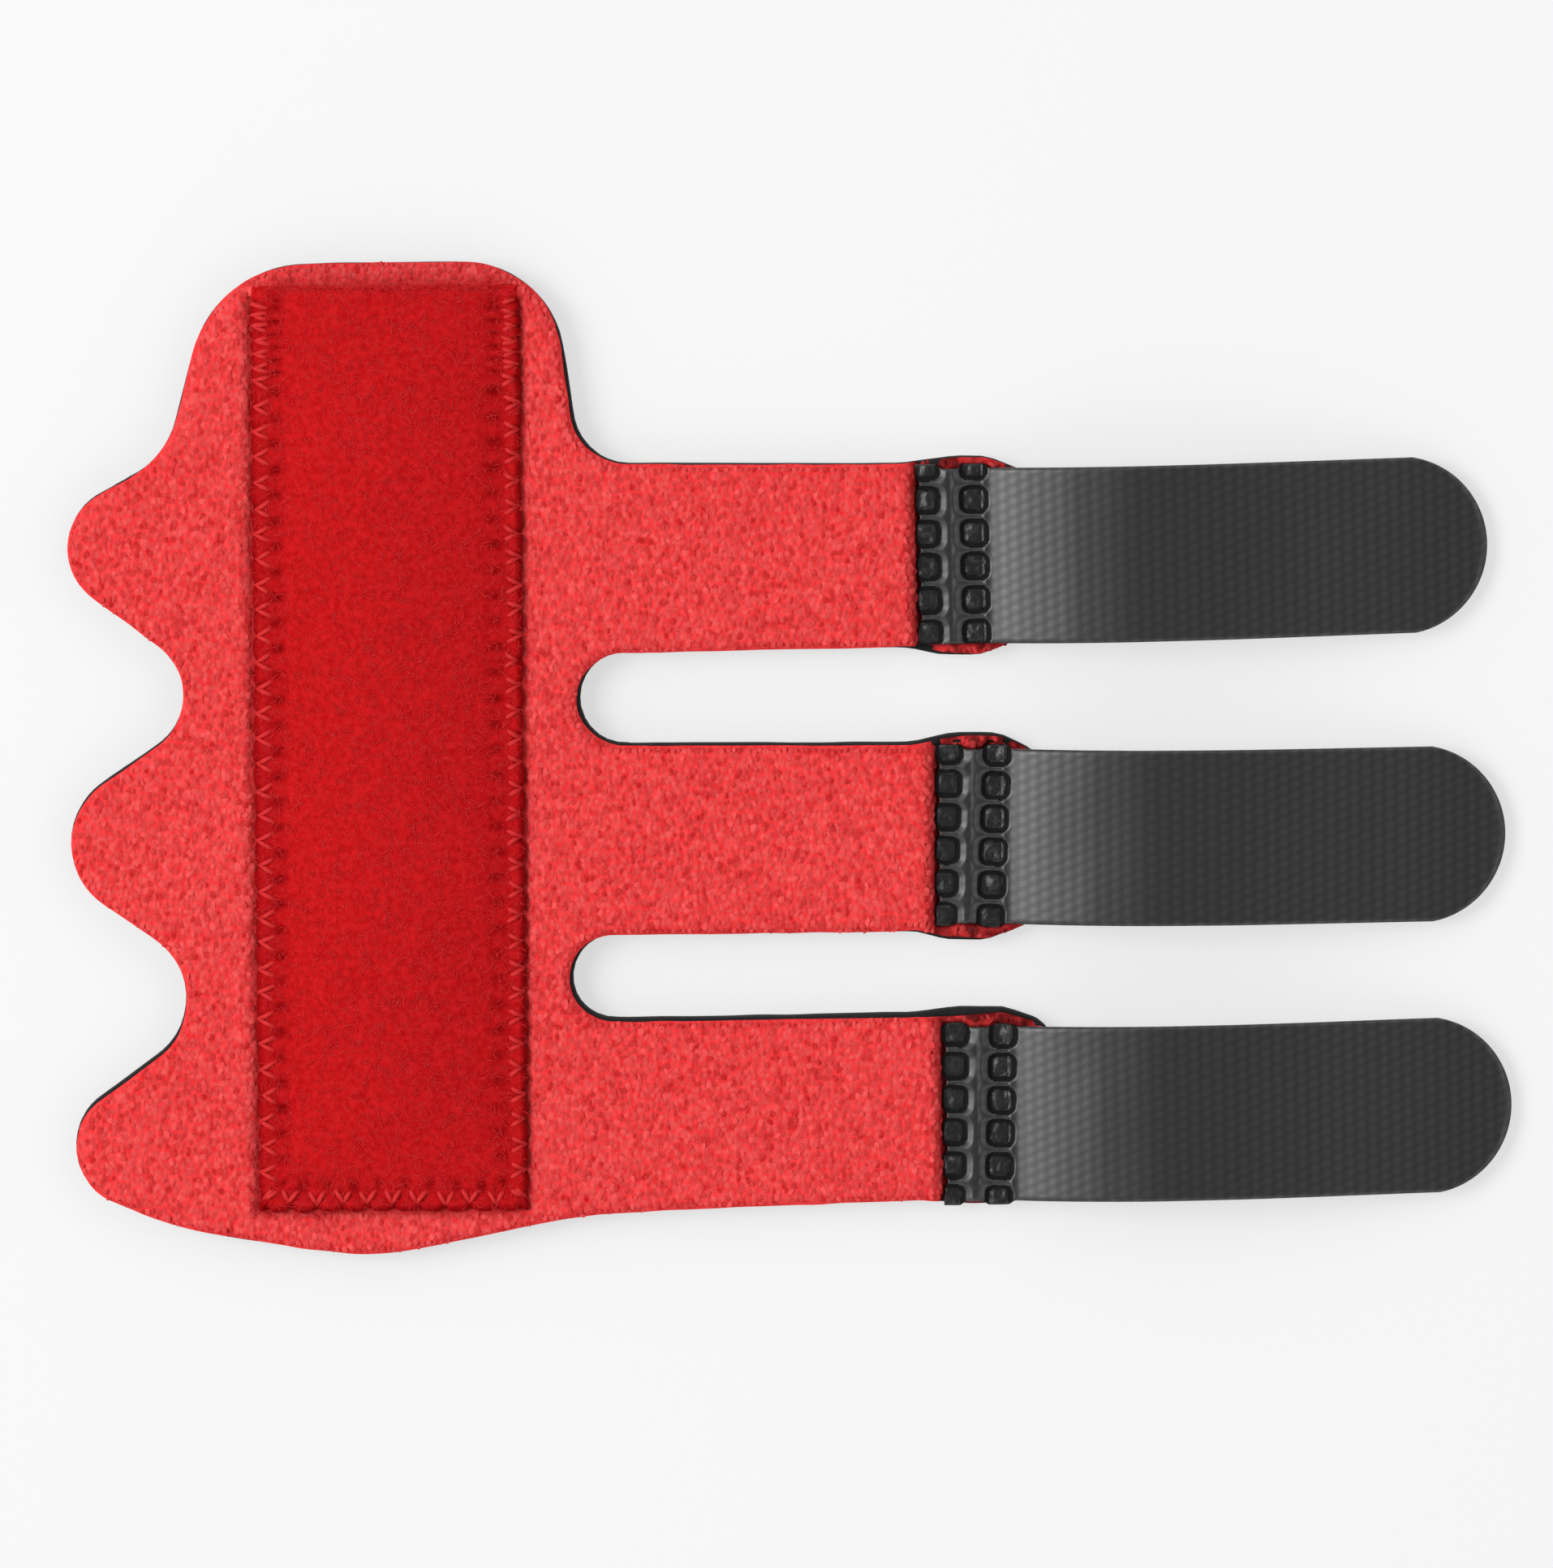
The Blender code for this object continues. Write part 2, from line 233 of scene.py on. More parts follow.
def noise(x, y, size, seed):
    """Value noise from -1 to 1, with lumps about `size` across."""
    heights = np.random.default_rng(seed).uniform(-1.0, 1.0, (LATTICE, LATTICE))
    u, v = np.asarray(x, float) / size, np.asarray(y, float) / size
    i, j = np.floor(u).astype(int), np.floor(v).astype(int)
    a, b = smooth_step(u - i, 0.0, 1.0), smooth_step(v - j, 0.0, 1.0)
    i0, i1, j0, j1 = i % LATTICE, (i + 1) % LATTICE, j % LATTICE, (j + 1) % LATTICE
    near = heights[i0, j0] * (1 - a) + heights[i1, j0] * a
    far = heights[i0, j1] * (1 - a) + heights[i1, j1] * a
    return near * (1 - b) + far * b


def smooth_table(table, x):
    """A smooth curve through the rows (distance, value) of a table."""
    at, value = np.array(table, float).T
    run = np.diff(value) / np.diff(at)
    level = run[:-1] * run[1:] <= 0.0
    mean = 2.0 * run[:-1] * run[1:] / np.where(level, 1.0, run[:-1] + run[1:])
    slope = np.concatenate([[run[0]], np.where(level, 0.0, mean), [run[-1]]])
    x = np.clip(np.asarray(x, float), at[0], at[-1])
    k = np.clip(np.searchsorted(at, x) - 1, 0, len(at) - 2)
    step = at[k + 1] - at[k]
    t = (x - at[k]) / step
    return (
        (2 * t**3 - 3 * t**2 + 1) * value[k]
        + (t**3 - 2 * t**2 + t) * step * slope[k]
        + (3 * t**2 - 2 * t**3) * value[k + 1]
        + (t**3 - t**2) * step * slope[k + 1]
    )


print("noise near the origin:", round(float(noise(0.3, 0.4, 1.0, 1)), 3))

# %% [markdown]
# ## The outline of the laminate
#
# The die that cuts the splint gives foam and cloth one outline. It is read off the packed
# foam, whose underside is flat: the edges that only one downward face uses make the rim.
# Corner cutting, twice, turns its short straight runs into a smooth curve.

# %% Outline


def outline_of(node_name):
    """The rim of a node's flat underside, in mm, anticlockwise seen from above."""
    shape = bmesh.new()
    shape.from_mesh(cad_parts[node_name].data)
    bmesh.ops.remove_doubles(shape, verts=shape.verts, dist=1e-6)
    below = {face for face in shape.faces if face.calc_center_median().z < 1e-5}
    after = {}
    for face in below:
        for loop in face.loops:
            if sum(other in below for other in loop.edge.link_faces) == 1:
                after[loop.vert] = loop.link_loop_next.vert
    start = next(iter(after))
    rim, vert = [], start
    while True:
        rim.append((vert.co.x / MM, vert.co.y / MM))
        vert = after[vert]
        if vert is start:
            break
    shape.free()
    return np.array(rim[::-1])


def cut_corners(points, times):
    """A closed line with each corner cut off a quarter of the way along its sides."""
    for _ in range(times):
        after = np.roll(points, -1, axis=0)
        points = np.stack([0.75 * points + 0.25 * after, 0.25 * points + 0.75 * after], 1)
        points = points.reshape(-1, 2)
    return points


outline = cut_corners(outline_of("foam_backing"), 2)
steps = np.roll(outline, -1, axis=0) - outline
print("outline:", len(outline), "points,", round(float(np.hypot(*steps.T).sum())), "mm round")

# %% Distances from the outline
BATCH = 2000
ON_EDGE = 1e-6


def edge_distance(x, y):
    """How far each point is inside the outline, the nearest place on it and the way out."""
    points = np.stack([np.ravel(x), np.ravel(y)], 1).astype(float)
    start, side, end = outline, steps, outline + steps
    length2 = (side**2).sum(1)
    depth, nearest = np.empty(len(points)), np.empty((len(points), 2))
    for low in range(0, len(points), BATCH):
        p = points[low : low + BATCH]
        away = p[:, None] - start[None]
        t = unit((away * side).sum(2) / length2)
        touch = start[None] + t[..., None] * side
        gap2 = ((p[:, None] - touch) ** 2).sum(2)
        k = gap2.argmin(1)
        rows = np.arange(len(p))
        spans = (start[:, 1] > p[:, None, 1]) != (end[:, 1] > p[:, None, 1])
        rise = np.where(side[:, 1] == 0, 1e-12, side[:, 1])
        cross = start[:, 0] + side[:, 0] * (p[:, None, 1] - start[:, 1]) / rise
        inside = (spans & (p[:, None, 0] < cross)).sum(1) % 2 == 1
        depth[low : low + BATCH] = np.sqrt(gap2[rows, k]) * np.where(inside, 1.0, -1.0)
        nearest[low : low + BATCH] = touch[rows, k]
    depth, nearest = depth.reshape(np.shape(x)), nearest.reshape(*np.shape(x), 2)
    safe = np.where(np.abs(depth) < ON_EDGE, 1e9, depth)
    return depth, nearest, (nearest - np.stack([x, y], -1)) / safe[..., None]


# %% [markdown]
# ## Where the tabs and the pocket are
#
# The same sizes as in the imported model, repeated here because the cloth has to know where
# it is pressed down. `arm_place` turns a point of the table into distances along and across
# its nearest tab, and `pocket_place` does so for the pocket.

# %% Places of the tabs and the pocket
# place is the middle of the tab's welded end. The weld's squares have a turn and a shift of
# their own against the tab.
Arm = namedtuple("Arm", "name place turn weld_turn weld_shift seed")
ARMS = (
    Arm("upper", (12.1, 18.95), math.radians(1.35), math.radians(0.0), 0.6, 70),
    Arm("middle", (13.9, -7.3), math.radians(0.25), math.radians(-2.4), 0.2, 75),
    Arm("lower", (14.6, -33.5), math.radians(1.05), math.radians(-2.4), -0.2, 80),
)
TAB_HALF_WIDTH, TAB_LENGTH = 8.2, 53.1
POCKET_CENTRE, POCKET_TURN = (-37.6, 1.05), math.radians(0.45)
POCKET_WIDTH, POCKET_LENGTH = 25.0, 86.9
# The tape's edges, seen from its middle. Its mouth is at the upper end and isn't sewn.
TAPE_SIDE, TAPE_END = POCKET_WIDTH / 2, POCKET_LENGTH / 2


def turned(x, y, centre, angle):
    """Points in the axes of something that sits at `centre` and is turned by `angle`."""
    x, y = np.asarray(x, float) - centre[0], np.asarray(y, float) - centre[1]
    return x * math.cos(angle) + y * math.sin(angle), y * math.cos(angle) - x * math.sin(angle)


def set_back(x, y, centre, angle):
    """The other way round: from those axes to the table."""
    x, y = np.asarray(x, float), np.asarray(y, float)
    return (
        centre[0] + x * math.cos(angle) - y * math.sin(angle),
        centre[1] + x * math.sin(angle) + y * math.cos(angle),
    )


def nearest_arm(x, y):
    """Distances along and across the nearest tab, and that tab's number."""
    along, across = np.full(np.shape(x), 1e3), np.full(np.shape(x), 1e3)
    which = np.zeros(np.shape(x), int)
    for number, arm in enumerate(ARMS):
        s, t = turned(x, y, arm.place, arm.turn)
        nearer = np.abs(t) < np.abs(across)
        along, across = np.where(nearer, s, along), np.where(nearer, t, across)
        which = np.where(nearer, number, which)
    return along, across, which


def arm_place(x, y):
    return nearest_arm(x, y)[:2]


def pocket_place(x, y):
    """Distances across and along the pocket tape, from its middle."""
    return turned(x, y, POCKET_CENTRE, POCKET_TURN)


def pocket_depth(u, v):
    """How far inside the tape's edge a point is."""
    return np.minimum(TAPE_SIDE - np.abs(u), TAPE_END - np.abs(v))


print("along and across the middle tab at its weld:", *arm_place(np.array(15.0), np.array(-8.0)))

# %% [markdown]
# A welding horn with two columns of six square teeth melts each tab's root into the
# laminate. The teeth reach a little past the tab's sides, so the cloth has to know their
# places too. The distance to a square with round corners has a short formula.

# %% Places of the weld's squares
SQUARE_HALF, SQUARE_RADIUS = 1.25, 0.8
SQUARE_COLUMNS = (0.65, 5.15)
SQUARE_MIDDLE = sum(SQUARE_COLUMNS) / 2
SQUARE_ROWS, SQUARE_PITCH = 6, 3.12
# How far the dents reach into the cloth: before the tab's end and across from its middle.
DENTS_START, DENTS_SIDE = -0.6, 8.6


def square_distance(s, t, arm):
    """Distance to the nearest square's edge, negative inside it."""
    a, b = turned(s, t, (SQUARE_MIDDLE, arm.weld_shift), arm.weld_turn)
    a = np.abs(np.abs(a) - (SQUARE_COLUMNS[1] - SQUARE_MIDDLE))
    last = (SQUARE_ROWS - 1) / 2
    b = np.abs(b - np.clip(np.round(b / SQUARE_PITCH - 0.5) + 0.5, -last, last) * SQUARE_PITCH)
    a, b = a - SQUARE_HALF + SQUARE_RADIUS, b - SQUARE_HALF + SQUARE_RADIUS
    beyond = np.hypot(np.maximum(a, 0.0), np.maximum(b, 0.0))
    return beyond + np.minimum(np.maximum(a, b), 0.0) - SQUARE_RADIUS


def dent_distance(x, y):
    """The same for a point of the table and its nearest weld."""
    along, across, which = nearest_arm(x, y)
    distance = np.zeros(np.shape(x))
    for number, arm in enumerate(ARMS):
        distance = np.where(which == number, square_distance(along, across, arm), distance)
    return distance


print("a weld's square is", 2 * SQUARE_HALF, "mm wide")

# %% [markdown]
# ## How thick the laminate is
#
# Free laminate is 3 mm: foam and the knitted ground of the cloth, with the loops on top. The
# welding horn presses it to little more than a millimetre under each tab, and the cloth
# beside the tab swells up as a soft roll. Under the pocket's seam the thread pulls it down.

# %% Heights of the laminate
FOAM_TOP, FOAM_PRESSED = 2.1, 0.8
CLOTH_TOP, CLOTH_PRESSED = 2.95, 1.2
EDGE_ROUNDING, EDGE_FALL = 0.75, 0.6
SEAM_PULL = 0.5
# Free of the edge's rounding.
WELL_INSIDE = 3.0


def freedom(x, y):
    """1 where the laminate is free, 0 where a weld presses it."""
    along, across = arm_place(x, y)
    before = 1.0 - smooth_step(along, -1.3, -0.15)
    behind = 0.55 * smooth_step(along, 7.4, 9.2)
    beside = 0.75 * smooth_step(np.abs(across), TAB_HALF_WIDTH - 0.1, TAB_HALF_WIDTH + 0.6)
    dented = (along > DENTS_START) & (np.abs(across) < TAB_HALF_WIDTH + 0.8)
    beside = beside * np.where(dented, smooth_step(dent_distance(x, y), 0.0, 0.5), 1.0)
    return np.maximum.reduce([before, behind, beside])


def foam_height(x, y):
    """Top of the foam. In the rolls beside a weld it is thinner, and the cloth is thicker."""
    along, across = arm_place(x, y)
    beyond = smooth_step(np.abs(across), TAB_HALF_WIDTH + 0.6, TAB_HALF_WIDTH + 1.4)
    welded = window(along, (-1.6, -0.6), (7.5, 9.0)) * (1.0 - beyond)
    return FOAM_PRESSED + freedom(x, y) * (1.0 - 0.5 * welded) * (FOAM_TOP - FOAM_PRESSED)


def along_sewn_sides(v):
    """True for the part of the tape's length that isn't at its mouth."""
    return v < TAPE_END - 1.0


def cloth_height(x, y, depth):
    """Top of the cloth's ground, `depth` inside its edge."""
    free = freedom(x, y)
    height = CLOTH_PRESSED + free * (CLOTH_TOP - CLOTH_PRESSED)
    height = height + free * (0.07 * noise(x, y, 6.5, 11) + 0.04 * noise(x, y, 1.7, 12))
    u, v = pocket_place(x, y)
    height = height - SEAM_PULL * (bell(pocket_depth(u, v), 0.1, 0.7) * along_sewn_sides(v))
    return height - EDGE_FALL * rounding(depth, EDGE_ROUNDING)


print("cloth on the palm side:", round(float(cloth_height(-30.0, -44.0, WELL_INSIDE)), 2), "mm high")

# %% [markdown]
# ## A tool for closed sheets
#
# Foam, cloth and tape are all sheets with a cut edge. Each is made from a grid of points on
# the table: the kept cells are lifted to the top height, a few rows run down round the cut
# edge, and the same cells close the underside. A grid is even, so relief and bending look
# alike everywhere, which a flat cut-out filled with one big face could not give.

# %% Pieces and their numbers


def new_piece(name, vertices, faces, *slots):
    """A mesh object from points in mm, at the origin, with smooth shading."""
    mesh = bpy.data.meshes.new(name)
    mesh.from_pydata(np.asarray(vertices, float) * MM, [], faces)
    mesh.validate()
    mesh.shade_smooth()
    piece = bpy.data.objects.new(name, mesh)
    bpy.context.scene.collection.objects.link(piece)
    for material in slots:
        mesh.materials.append(material)
    print(name + ":", len(mesh.vertices), "points,", len(mesh.polygons), "faces")
    return piece


def read_off(items, name, width=1, kind=float):
    """One number, or `width` of them, for each of a mesh's items, as an array."""
    values = np.empty(len(items) * width, kind)
    items.foreach_get(name, values)
    return values.reshape(-1, width) if width > 1 else values


def points_of(piece):
    """The places of a piece's points, in mm."""
    return read_off(piece.data.vertices, "co", 3) / MM


def mark(piece, name, values):
    """A number for every point of a piece, which its material reads by name."""
    layer = piece.data.attributes.new(name, "FLOAT", "POINT")
    layer.data.foreach_set("value", np.asarray(values).astype(np.float32))


# %% Closed sheets


def rim_of(keep):
    """The points on the kept cells' border as indices (i, j), anticlockwise."""
    i, j = np.nonzero(keep)
    after = {}
    for di, dj, ei, ej, ni, nj in (
        (0, 0, 1, 0, 0, -1), (1, 0, 1, 1, 1, 0), (1, 1, 0, 1, 0, 1), (0, 1, 0, 0, -1, 0),
    ):
        a, b = i + ni, j + nj
        inside = (a >= 0) & (b >= 0) & (a < keep.shape[0]) & (b < keep.shape[1])
        open_side = ~inside
        open_side[inside] = ~keep[a[inside], b[inside]]
        for p, q in zip(i[open_side], j[open_side]):
            after[(p + di, q + dj)] = (p + ei, q + ej)
    start = next(iter(after))
    rim, at = [start], after[start]
    while at != start:
        rim.append(at)
        at = after[at]
    if len(rim) != len(after):
        raise ValueError("the cells' border isn't one loop")
    return np.array(rim)


def closed_sheet(name, x, y, keep, top, bottom, rows, *slots):
    """A sheet over the kept cells, or all if keep is None.

    rows are the rows of points down its side: (how far out, share of the way down).
    """
    if keep is None:
        keep = np.ones(np.array(x.shape) - 1, bool)
    rim = rim_of(keep)
    on_rim = tuple(rim.T)
    used = np.zeros(x.shape, bool)
    for di, dj in ((0, 0), (1, 0), (1, 1), (0, 1)):
        used[di : di + keep.shape[0], dj : dj + keep.shape[1]] |= keep
    upper = np.full(x.shape, -1)
    upper[used] = np.arange(used.sum())
    points = [np.stack([x[used], y[used], top[used]], 1)]
    edge = np.stack([x[on_rim], y[on_rim]], 1)
    ahead = np.roll(edge, -2, axis=0) - np.roll(edge, 2, axis=0)
    ahead /= np.linalg.norm(ahead, axis=1)[:, None]
    outwards = np.stack([ahead[:, 1], -ahead[:, 0]], 1)
    high, low = top[on_rim], bottom[on_rim]
    faces, above = [], upper[on_rim]
    count = used.sum()
    for out, share in rows:
        points.append(np.column_stack([edge + outwards * out, high + (low - high) * share]))
        below = np.arange(len(rim)) + count
        count += len(rim)
        faces.append(np.stack([above, below, np.roll(below, -1), np.roll(above, -1)], 1))
        above = below
    inner = used.copy()
    inner[on_rim] = False
    lower = np.full(x.shape, -1)
    lower[on_rim] = above
    lower[inner] = np.arange(inner.sum()) + count
    points.append(np.stack([x[inner], y[inner], bottom[inner]], 1))
    i, j = np.nonzero(keep)
    for index, order in ((upper, (0, 1, 2, 3)), (lower, (3, 2, 1, 0))):
        corner = [index[i, j], index[i + 1, j], index[i + 1, j + 1], index[i, j + 1]]
        faces.append(np.stack([corner[k] for k in order], 1))
    return new_piece(name, np.concatenate(points), np.concatenate(faces).tolist(), *slots)


def cut_grid(cell, inset):
    """A grid cut to the outline, less an inset, with its border points on the cut."""
    low, high = outline.min(0) - 1.5 * cell, outline.max(0) + 1.5 * cell
    x, y = np.meshgrid(
        np.arange(low[0], high[0], cell), np.arange(low[1], high[1], cell), indexing="ij"
    )
    depth, nearest, outward = edge_distance(x, y)
    back = inset(x, y, outward)
    free = depth - back
    keep = (free[:-1, :-1] + free[1:, :-1] + free[1:, 1:] + free[:-1, 1:]) > 0
    i, j = rim_of(keep).T
    moved = nearest[i, j] - outward[i, j] * back[i, j][:, None]
    x[i, j], y[i, j] = moved[:, 0], moved[:, 1]
    near = (free > 0) & (free < 3 * cell)
    near[i, j] = False
    for _ in range(4):
        for values in (x, y):
            mean = np.zeros_like(values)
            mean[1:-1, 1:-1] = (
                values[:-2, 1:-1] + values[2:, 1:-1] + values[1:-1, :-2] + values[1:-1, 2:]
            ) / 4
            values[near] = mean[near]
    return x, y, keep, np.maximum(edge_distance(x, y)[0] - back, 0.0)


# %% [markdown]
# ## Materials
#
# Three effects are node groups. `dot_lattice` is the staggered lattice of soft dots that
# moulding leaves on the back of hook tape. It follows a UV map along the tab. `pile` gives
# the light and dark of looped or brushed cloth: soft streaks whose length and width are set
# apart, because the loops of the face cloth stand in upright rows while the plush lies every
# way. `fine_grain` gives the small unevenness that keeps foam, thread and plastic from
# looking like clean paint. Both read Object coordinates, because every piece sits at the
# origin with its place in its mesh.

# %% Pile and grain


def new_group(name, **inputs):
    """A shader group with float inputs and the outputs Shade and Height, and its inputs."""
    tree = bpy.data.node_groups.new(name, "ShaderNodeTree")
    for label, value in inputs.items():
        socket = tree.interface.new_socket(label, in_out="INPUT", socket_type="NodeSocketFloat")
        socket.default_value = value
    for label in ("Shade", "Height"):
        tree.interface.new_socket(label, in_out="OUTPUT", socket_type="NodeSocketFloat")
    return tree, node(tree, "NodeGroupInput").outputs


def stretched_noise(tree, width, length, detail):
    """Noise whose lumps are `width` by `length` mm, both given as sockets."""
    place = node(tree, "ShaderNodeTexCoord").outputs["Object"]
    parts = node(tree, "ShaderNodeSeparateXYZ", in_0=place).outputs
    scaled = {}
    for axis, size in (("X", width), ("Y", length), ("Z", width)):
        share = worked_out(tree, "DIVIDE", parts[axis], size)
        scaled["in_" + axis] = worked_out(tree, "MULTIPLY", share, 1.0 / MM)
    return node(
        tree, "ShaderNodeTexNoise", in_Scale=1.0, in_Detail=detail, in_Roughness=0.6,
        in_Vector=node(tree, "ShaderNodeCombineXYZ", **scaled).outputs[0],
    ).outputs["Fac"]


pile, own = new_group("pile", Width=0.4, Length=0.9, Patch=14.0)
strands = stretched_noise(pile, own["Width"], own["Length"], 1.5)
patches = stretched_noise(pile, own["Patch"], own["Patch"], 2.0)
shade = mixed(pile, 0.22, spread(pile, strands, 0.32, 0.68), patches)
node(pile, "NodeGroupOutput", in_Shade=shade, in_Height=strands)

fine_grain, own = new_group("fine_grain", Size=0.3, Patch=6.0)
grain = stretched_noise(fine_grain, own["Size"], own["Size"], 3.0)
patches = stretched_noise(fine_grain, own["Patch"], own["Patch"], 2.0)
node(
    fine_grain, "NodeGroupOutput", in_Shade=mixed(fine_grain, 0.5, grain, patches),
    in_Height=grain,
)
print("groups:", pile.name, "and", fine_grain.name)

# %% Dot lattice
DOT_COLUMN, DOT_ROW = 1.11, 1.0
DOT_SLANT = DOT_COLUMN * 2 / DOT_ROW

# Its light and dark also go into the tabs' colour, as painted shade and highlight of the dots'
# relief on top of their bump.
dot_lattice, own = new_group("dot_lattice", Depth=1.0)
place = node(dot_lattice, "ShaderNodeUVMap", uv_map="along_and_across").outputs[0]
parts = node(dot_lattice, "ShaderNodeSeparateXYZ", in_0=place).outputs


def wave(value, factor):
    """The cosine of a socket times a factor."""
    return worked_out(dot_lattice, "COSINE", worked_out(dot_lattice, "MULTIPLY", value, factor))


dots = wave(parts["X"], 2.0 * math.pi / DOT_COLUMN)
for slant, share in ((-DOT_SLANT, 0.7), (DOT_SLANT, 0.3)):
    slanted = worked_out(dot_lattice, "MULTIPLY_ADD", parts["Y"], slant, parts["X"])
    waves = wave(slanted, math.pi / DOT_COLUMN)
    dots = worked_out(dot_lattice, "MULTIPLY_ADD", waves, share, dots)
dots = spread(dot_lattice, dots, -1.4, 1.4)
node(
    dot_lattice, "NodeGroupOutput", in_Shade=dots,
    in_Height=worked_out(dot_lattice, "MULTIPLY", dots, own["Depth"]),
)
print("a dot every", DOT_COLUMN, "by", DOT_ROW, "mm")

# %% A material from a group


def linear(rgb):
    """A colour read off a screen, 0 to 255, as the linear light that nodes mix."""
    share = np.array(rgb, float) / 255.0
    light = np.where(share <= 0.04045, share / 12.92, ((share + 0.055) / 1.055) ** 2.4)
    return (*light.tolist(), 1.0)


def blend(tree, share, first, second):
    """Two colours, mixed by a share. A Mix node's colours are its inputs 6 and 7."""
    return node(
        tree, "ShaderNodeMix", data_type="RGBA", clamp_factor=True, in_0=share, in_6=first,
        in_7=second,
    ).outputs[2]


def attribute(tree, name):
    return node(tree, "ShaderNodeAttribute", attribute_name=name).outputs["Fac"]


def new_material(name, group, sizes, dark, light, rough, relief, gloss, tint=0.0, scorch_press_and_shade=None):
    """A material whose colour, roughness and bump follow one of the shared groups.

    dark and light are the colours at the group's low and high shade, rough the same for
    roughness, relief is (bump strength, bump distance in mm), and tint is how much of the
    shade comes from the `tint` of a copied shape instead. The last argument is the colour
    where the piece's own darkening attribute is 1. That attribute holds real scorch and
    pressed pile, and painted shade in grooves, needle holes, dimples and above the tape's mouth.
    """
    material = bpy.data.materials.new(name)
    material.use_nodes = True
    tree = material.node_tree
    pattern = node(tree, "ShaderNodeGroup", node_tree=group)
    feed(pattern, **sizes)
    shade = pattern.outputs["Shade"]
    rises = spread(tree, shade, 0.0, 1.0, *rough)
    if tint:
        shade = mixed(tree, tint, shade, attribute(tree, "tint"))
    colour = blend(tree, shade, linear(dark), linear(light))
    if scorch_press_and_shade:
        colour = blend(tree, attribute(tree, "scorch_press_and_shade"), colour, linear(scorch_press_and_shade))
    bump = node(
        tree, "ShaderNodeBump", in_Strength=relief[0], in_Distance=relief[1] * MM,
        in_Height=pattern.outputs["Height"],
    )
    feed(
        tree.nodes["Principled BSDF"], Base_Color=colour, Roughness=rises,
        Normal=bump.outputs[0], Specular_IOR_Level=gloss,
    )
    return material


# %% [markdown]
# The reds: the loop cloth is light and slightly orange where the loops catch light and
# deeper between them. The plush is a darker, bluer red. Pile scatters light and mirrors
# nothing, so both have no gloss. The black foam has little. The tabs have three finishes:
# moulded nylon with a soft gloss, melted floors in the weld's dents, and dull burnt walls
# around them.

# %% Materials of the splint
DULL = (0.95, 0.85)
LOOPED = {"Width": 0.42, "Length": 0.95, "Patch": 12.0}

# The last colour of each red is where it is darker: scorch on the loop cloth, pressed pile on the
# plush, and painted shade on both at the tape's edge and mouth, holes and dimples.
loop_red = new_material(
    "red_loop_cloth", pile, LOOPED, (180, 20, 24), (240, 90, 90), DULL, (0.12, 0.05), 0.0,
    tint=0.5, scorch_press_and_shade=(46, 13, 14),
)
ground_red = new_material(
    "red_cloth_ground", pile, LOOPED, (214, 40, 43), (240, 74, 75), DULL, (0.3, 0.1), 0.0,
    scorch_press_and_shade=(46, 12, 13),
)
plush_red = new_material(
    "red_plush", pile, {"Width": 0.6, "Length": 0.6, "Patch": 16.0},
    (168, 14, 18), (198, 28, 31), DULL, (0.2, 0.08), 0.0, scorch_press_and_shade=(110, 4, 7),
)
fibre_red = new_material(
    "red_fibres", pile, {"Width": 0.5, "Length": 0.5, "Patch": 9.0},
    (184, 24, 28), (212, 56, 58), (0.9, 0.8), (0.1, 0.02), 0.0,
)
thread_red = new_material(
    "red_thread", fine_grain, {"Size": 0.12, "Patch": 3.0},
    (190, 34, 36), (210, 52, 52), (0.75, 0.6), (0.3, 0.05), 0.1,
)
foam_black = new_material(
    "black_foam", fine_grain, {"Size": 0.25, "Patch": 5.0},
    (14, 14, 15), (34, 34, 36), (0.95, 0.8), (0.6, 0.15), 0.3,
)
# Dark to light follows the dot lattice: painted shade and highlight of the moulded dots.
hook_black = new_material(
    "black_hook_plastic", dot_lattice, {}, (2, 2, 2), (38, 38, 37), (0.48, 0.4), (0.32, 0.04),
    0.78,
)
wall_black = new_material(
    "burnt_edge", fine_grain, {"Size": 0.5, "Patch": 2.0},
    (4, 4, 4), (16, 16, 16), (0.95, 0.8), (0.3, 0.1), 0.25,
)
melt_black = new_material(
    "melted_plastic", fine_grain, {"Size": 0.7, "Patch": 2.0},
    (7, 7, 7), (24, 24, 24), (0.48, 0.3), (0.5, 0.2), 0.55,
)
print("materials:", len(bpy.data.materials))

# %% [markdown]
# ## Foam backing
#
# Closed-cell foam, 2.1 mm thick where it is free. Its cut side bulges a little, because the
# die squeezes it before it parts.

# %% Foam backing
FOAM_CELL = 1.0
FOAM_CUT_SIDE = ((0.08, 0.12), (0.13, 0.4), (0.12, 0.7), (0.05, 0.92), (-0.08, 1.0))


def foam_inset(x, y, outward):
    """How far the foam's cut is inside the die's outline."""
    return 0.12 + 0.05 * noise(x, y, 3.0, 21)


foam_x, foam_y, foam_keep, _ = cut_grid(FOAM_CELL, foam_inset)
foam = closed_sheet(
    "foam_core", foam_x, foam_y, foam_keep, foam_height(foam_x, foam_y) + 0.03,
    np.zeros_like(foam_x), FOAM_CUT_SIDE, foam_black,
)
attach(foam, "root")
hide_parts("foam_backing")

# %% [markdown]
# ## Loop cloth
#
# The ground of the cloth is one grid of 0.6 mm cells that follows `cloth_height`. It is cut
# back a little from the foam, more so beside the welds and in the slots' round ends, which
# is where the photo shows more of the black edge. The welds' heat scorches it in specks.
# Just before each tab's end it is darker, and it gets painted shade in the groove along the
# pocket tape's sewn edges and a painted shadow above the tape's mouth.

# %% Loop cloth
CLOTH_CELL = 0.6
CLOTH_CUT_SIDE = ((0.06, 0.25), (0.08, 0.55), (0.04, 0.85), (-0.1, 1.0))
# For each arm, how much more the roll above and below its weld is cut back.
WELD_INSETS = ((0.0, 0.35), (0.12, 0.35), (0.45, 0.0))
SLOT_END_X = -19.5


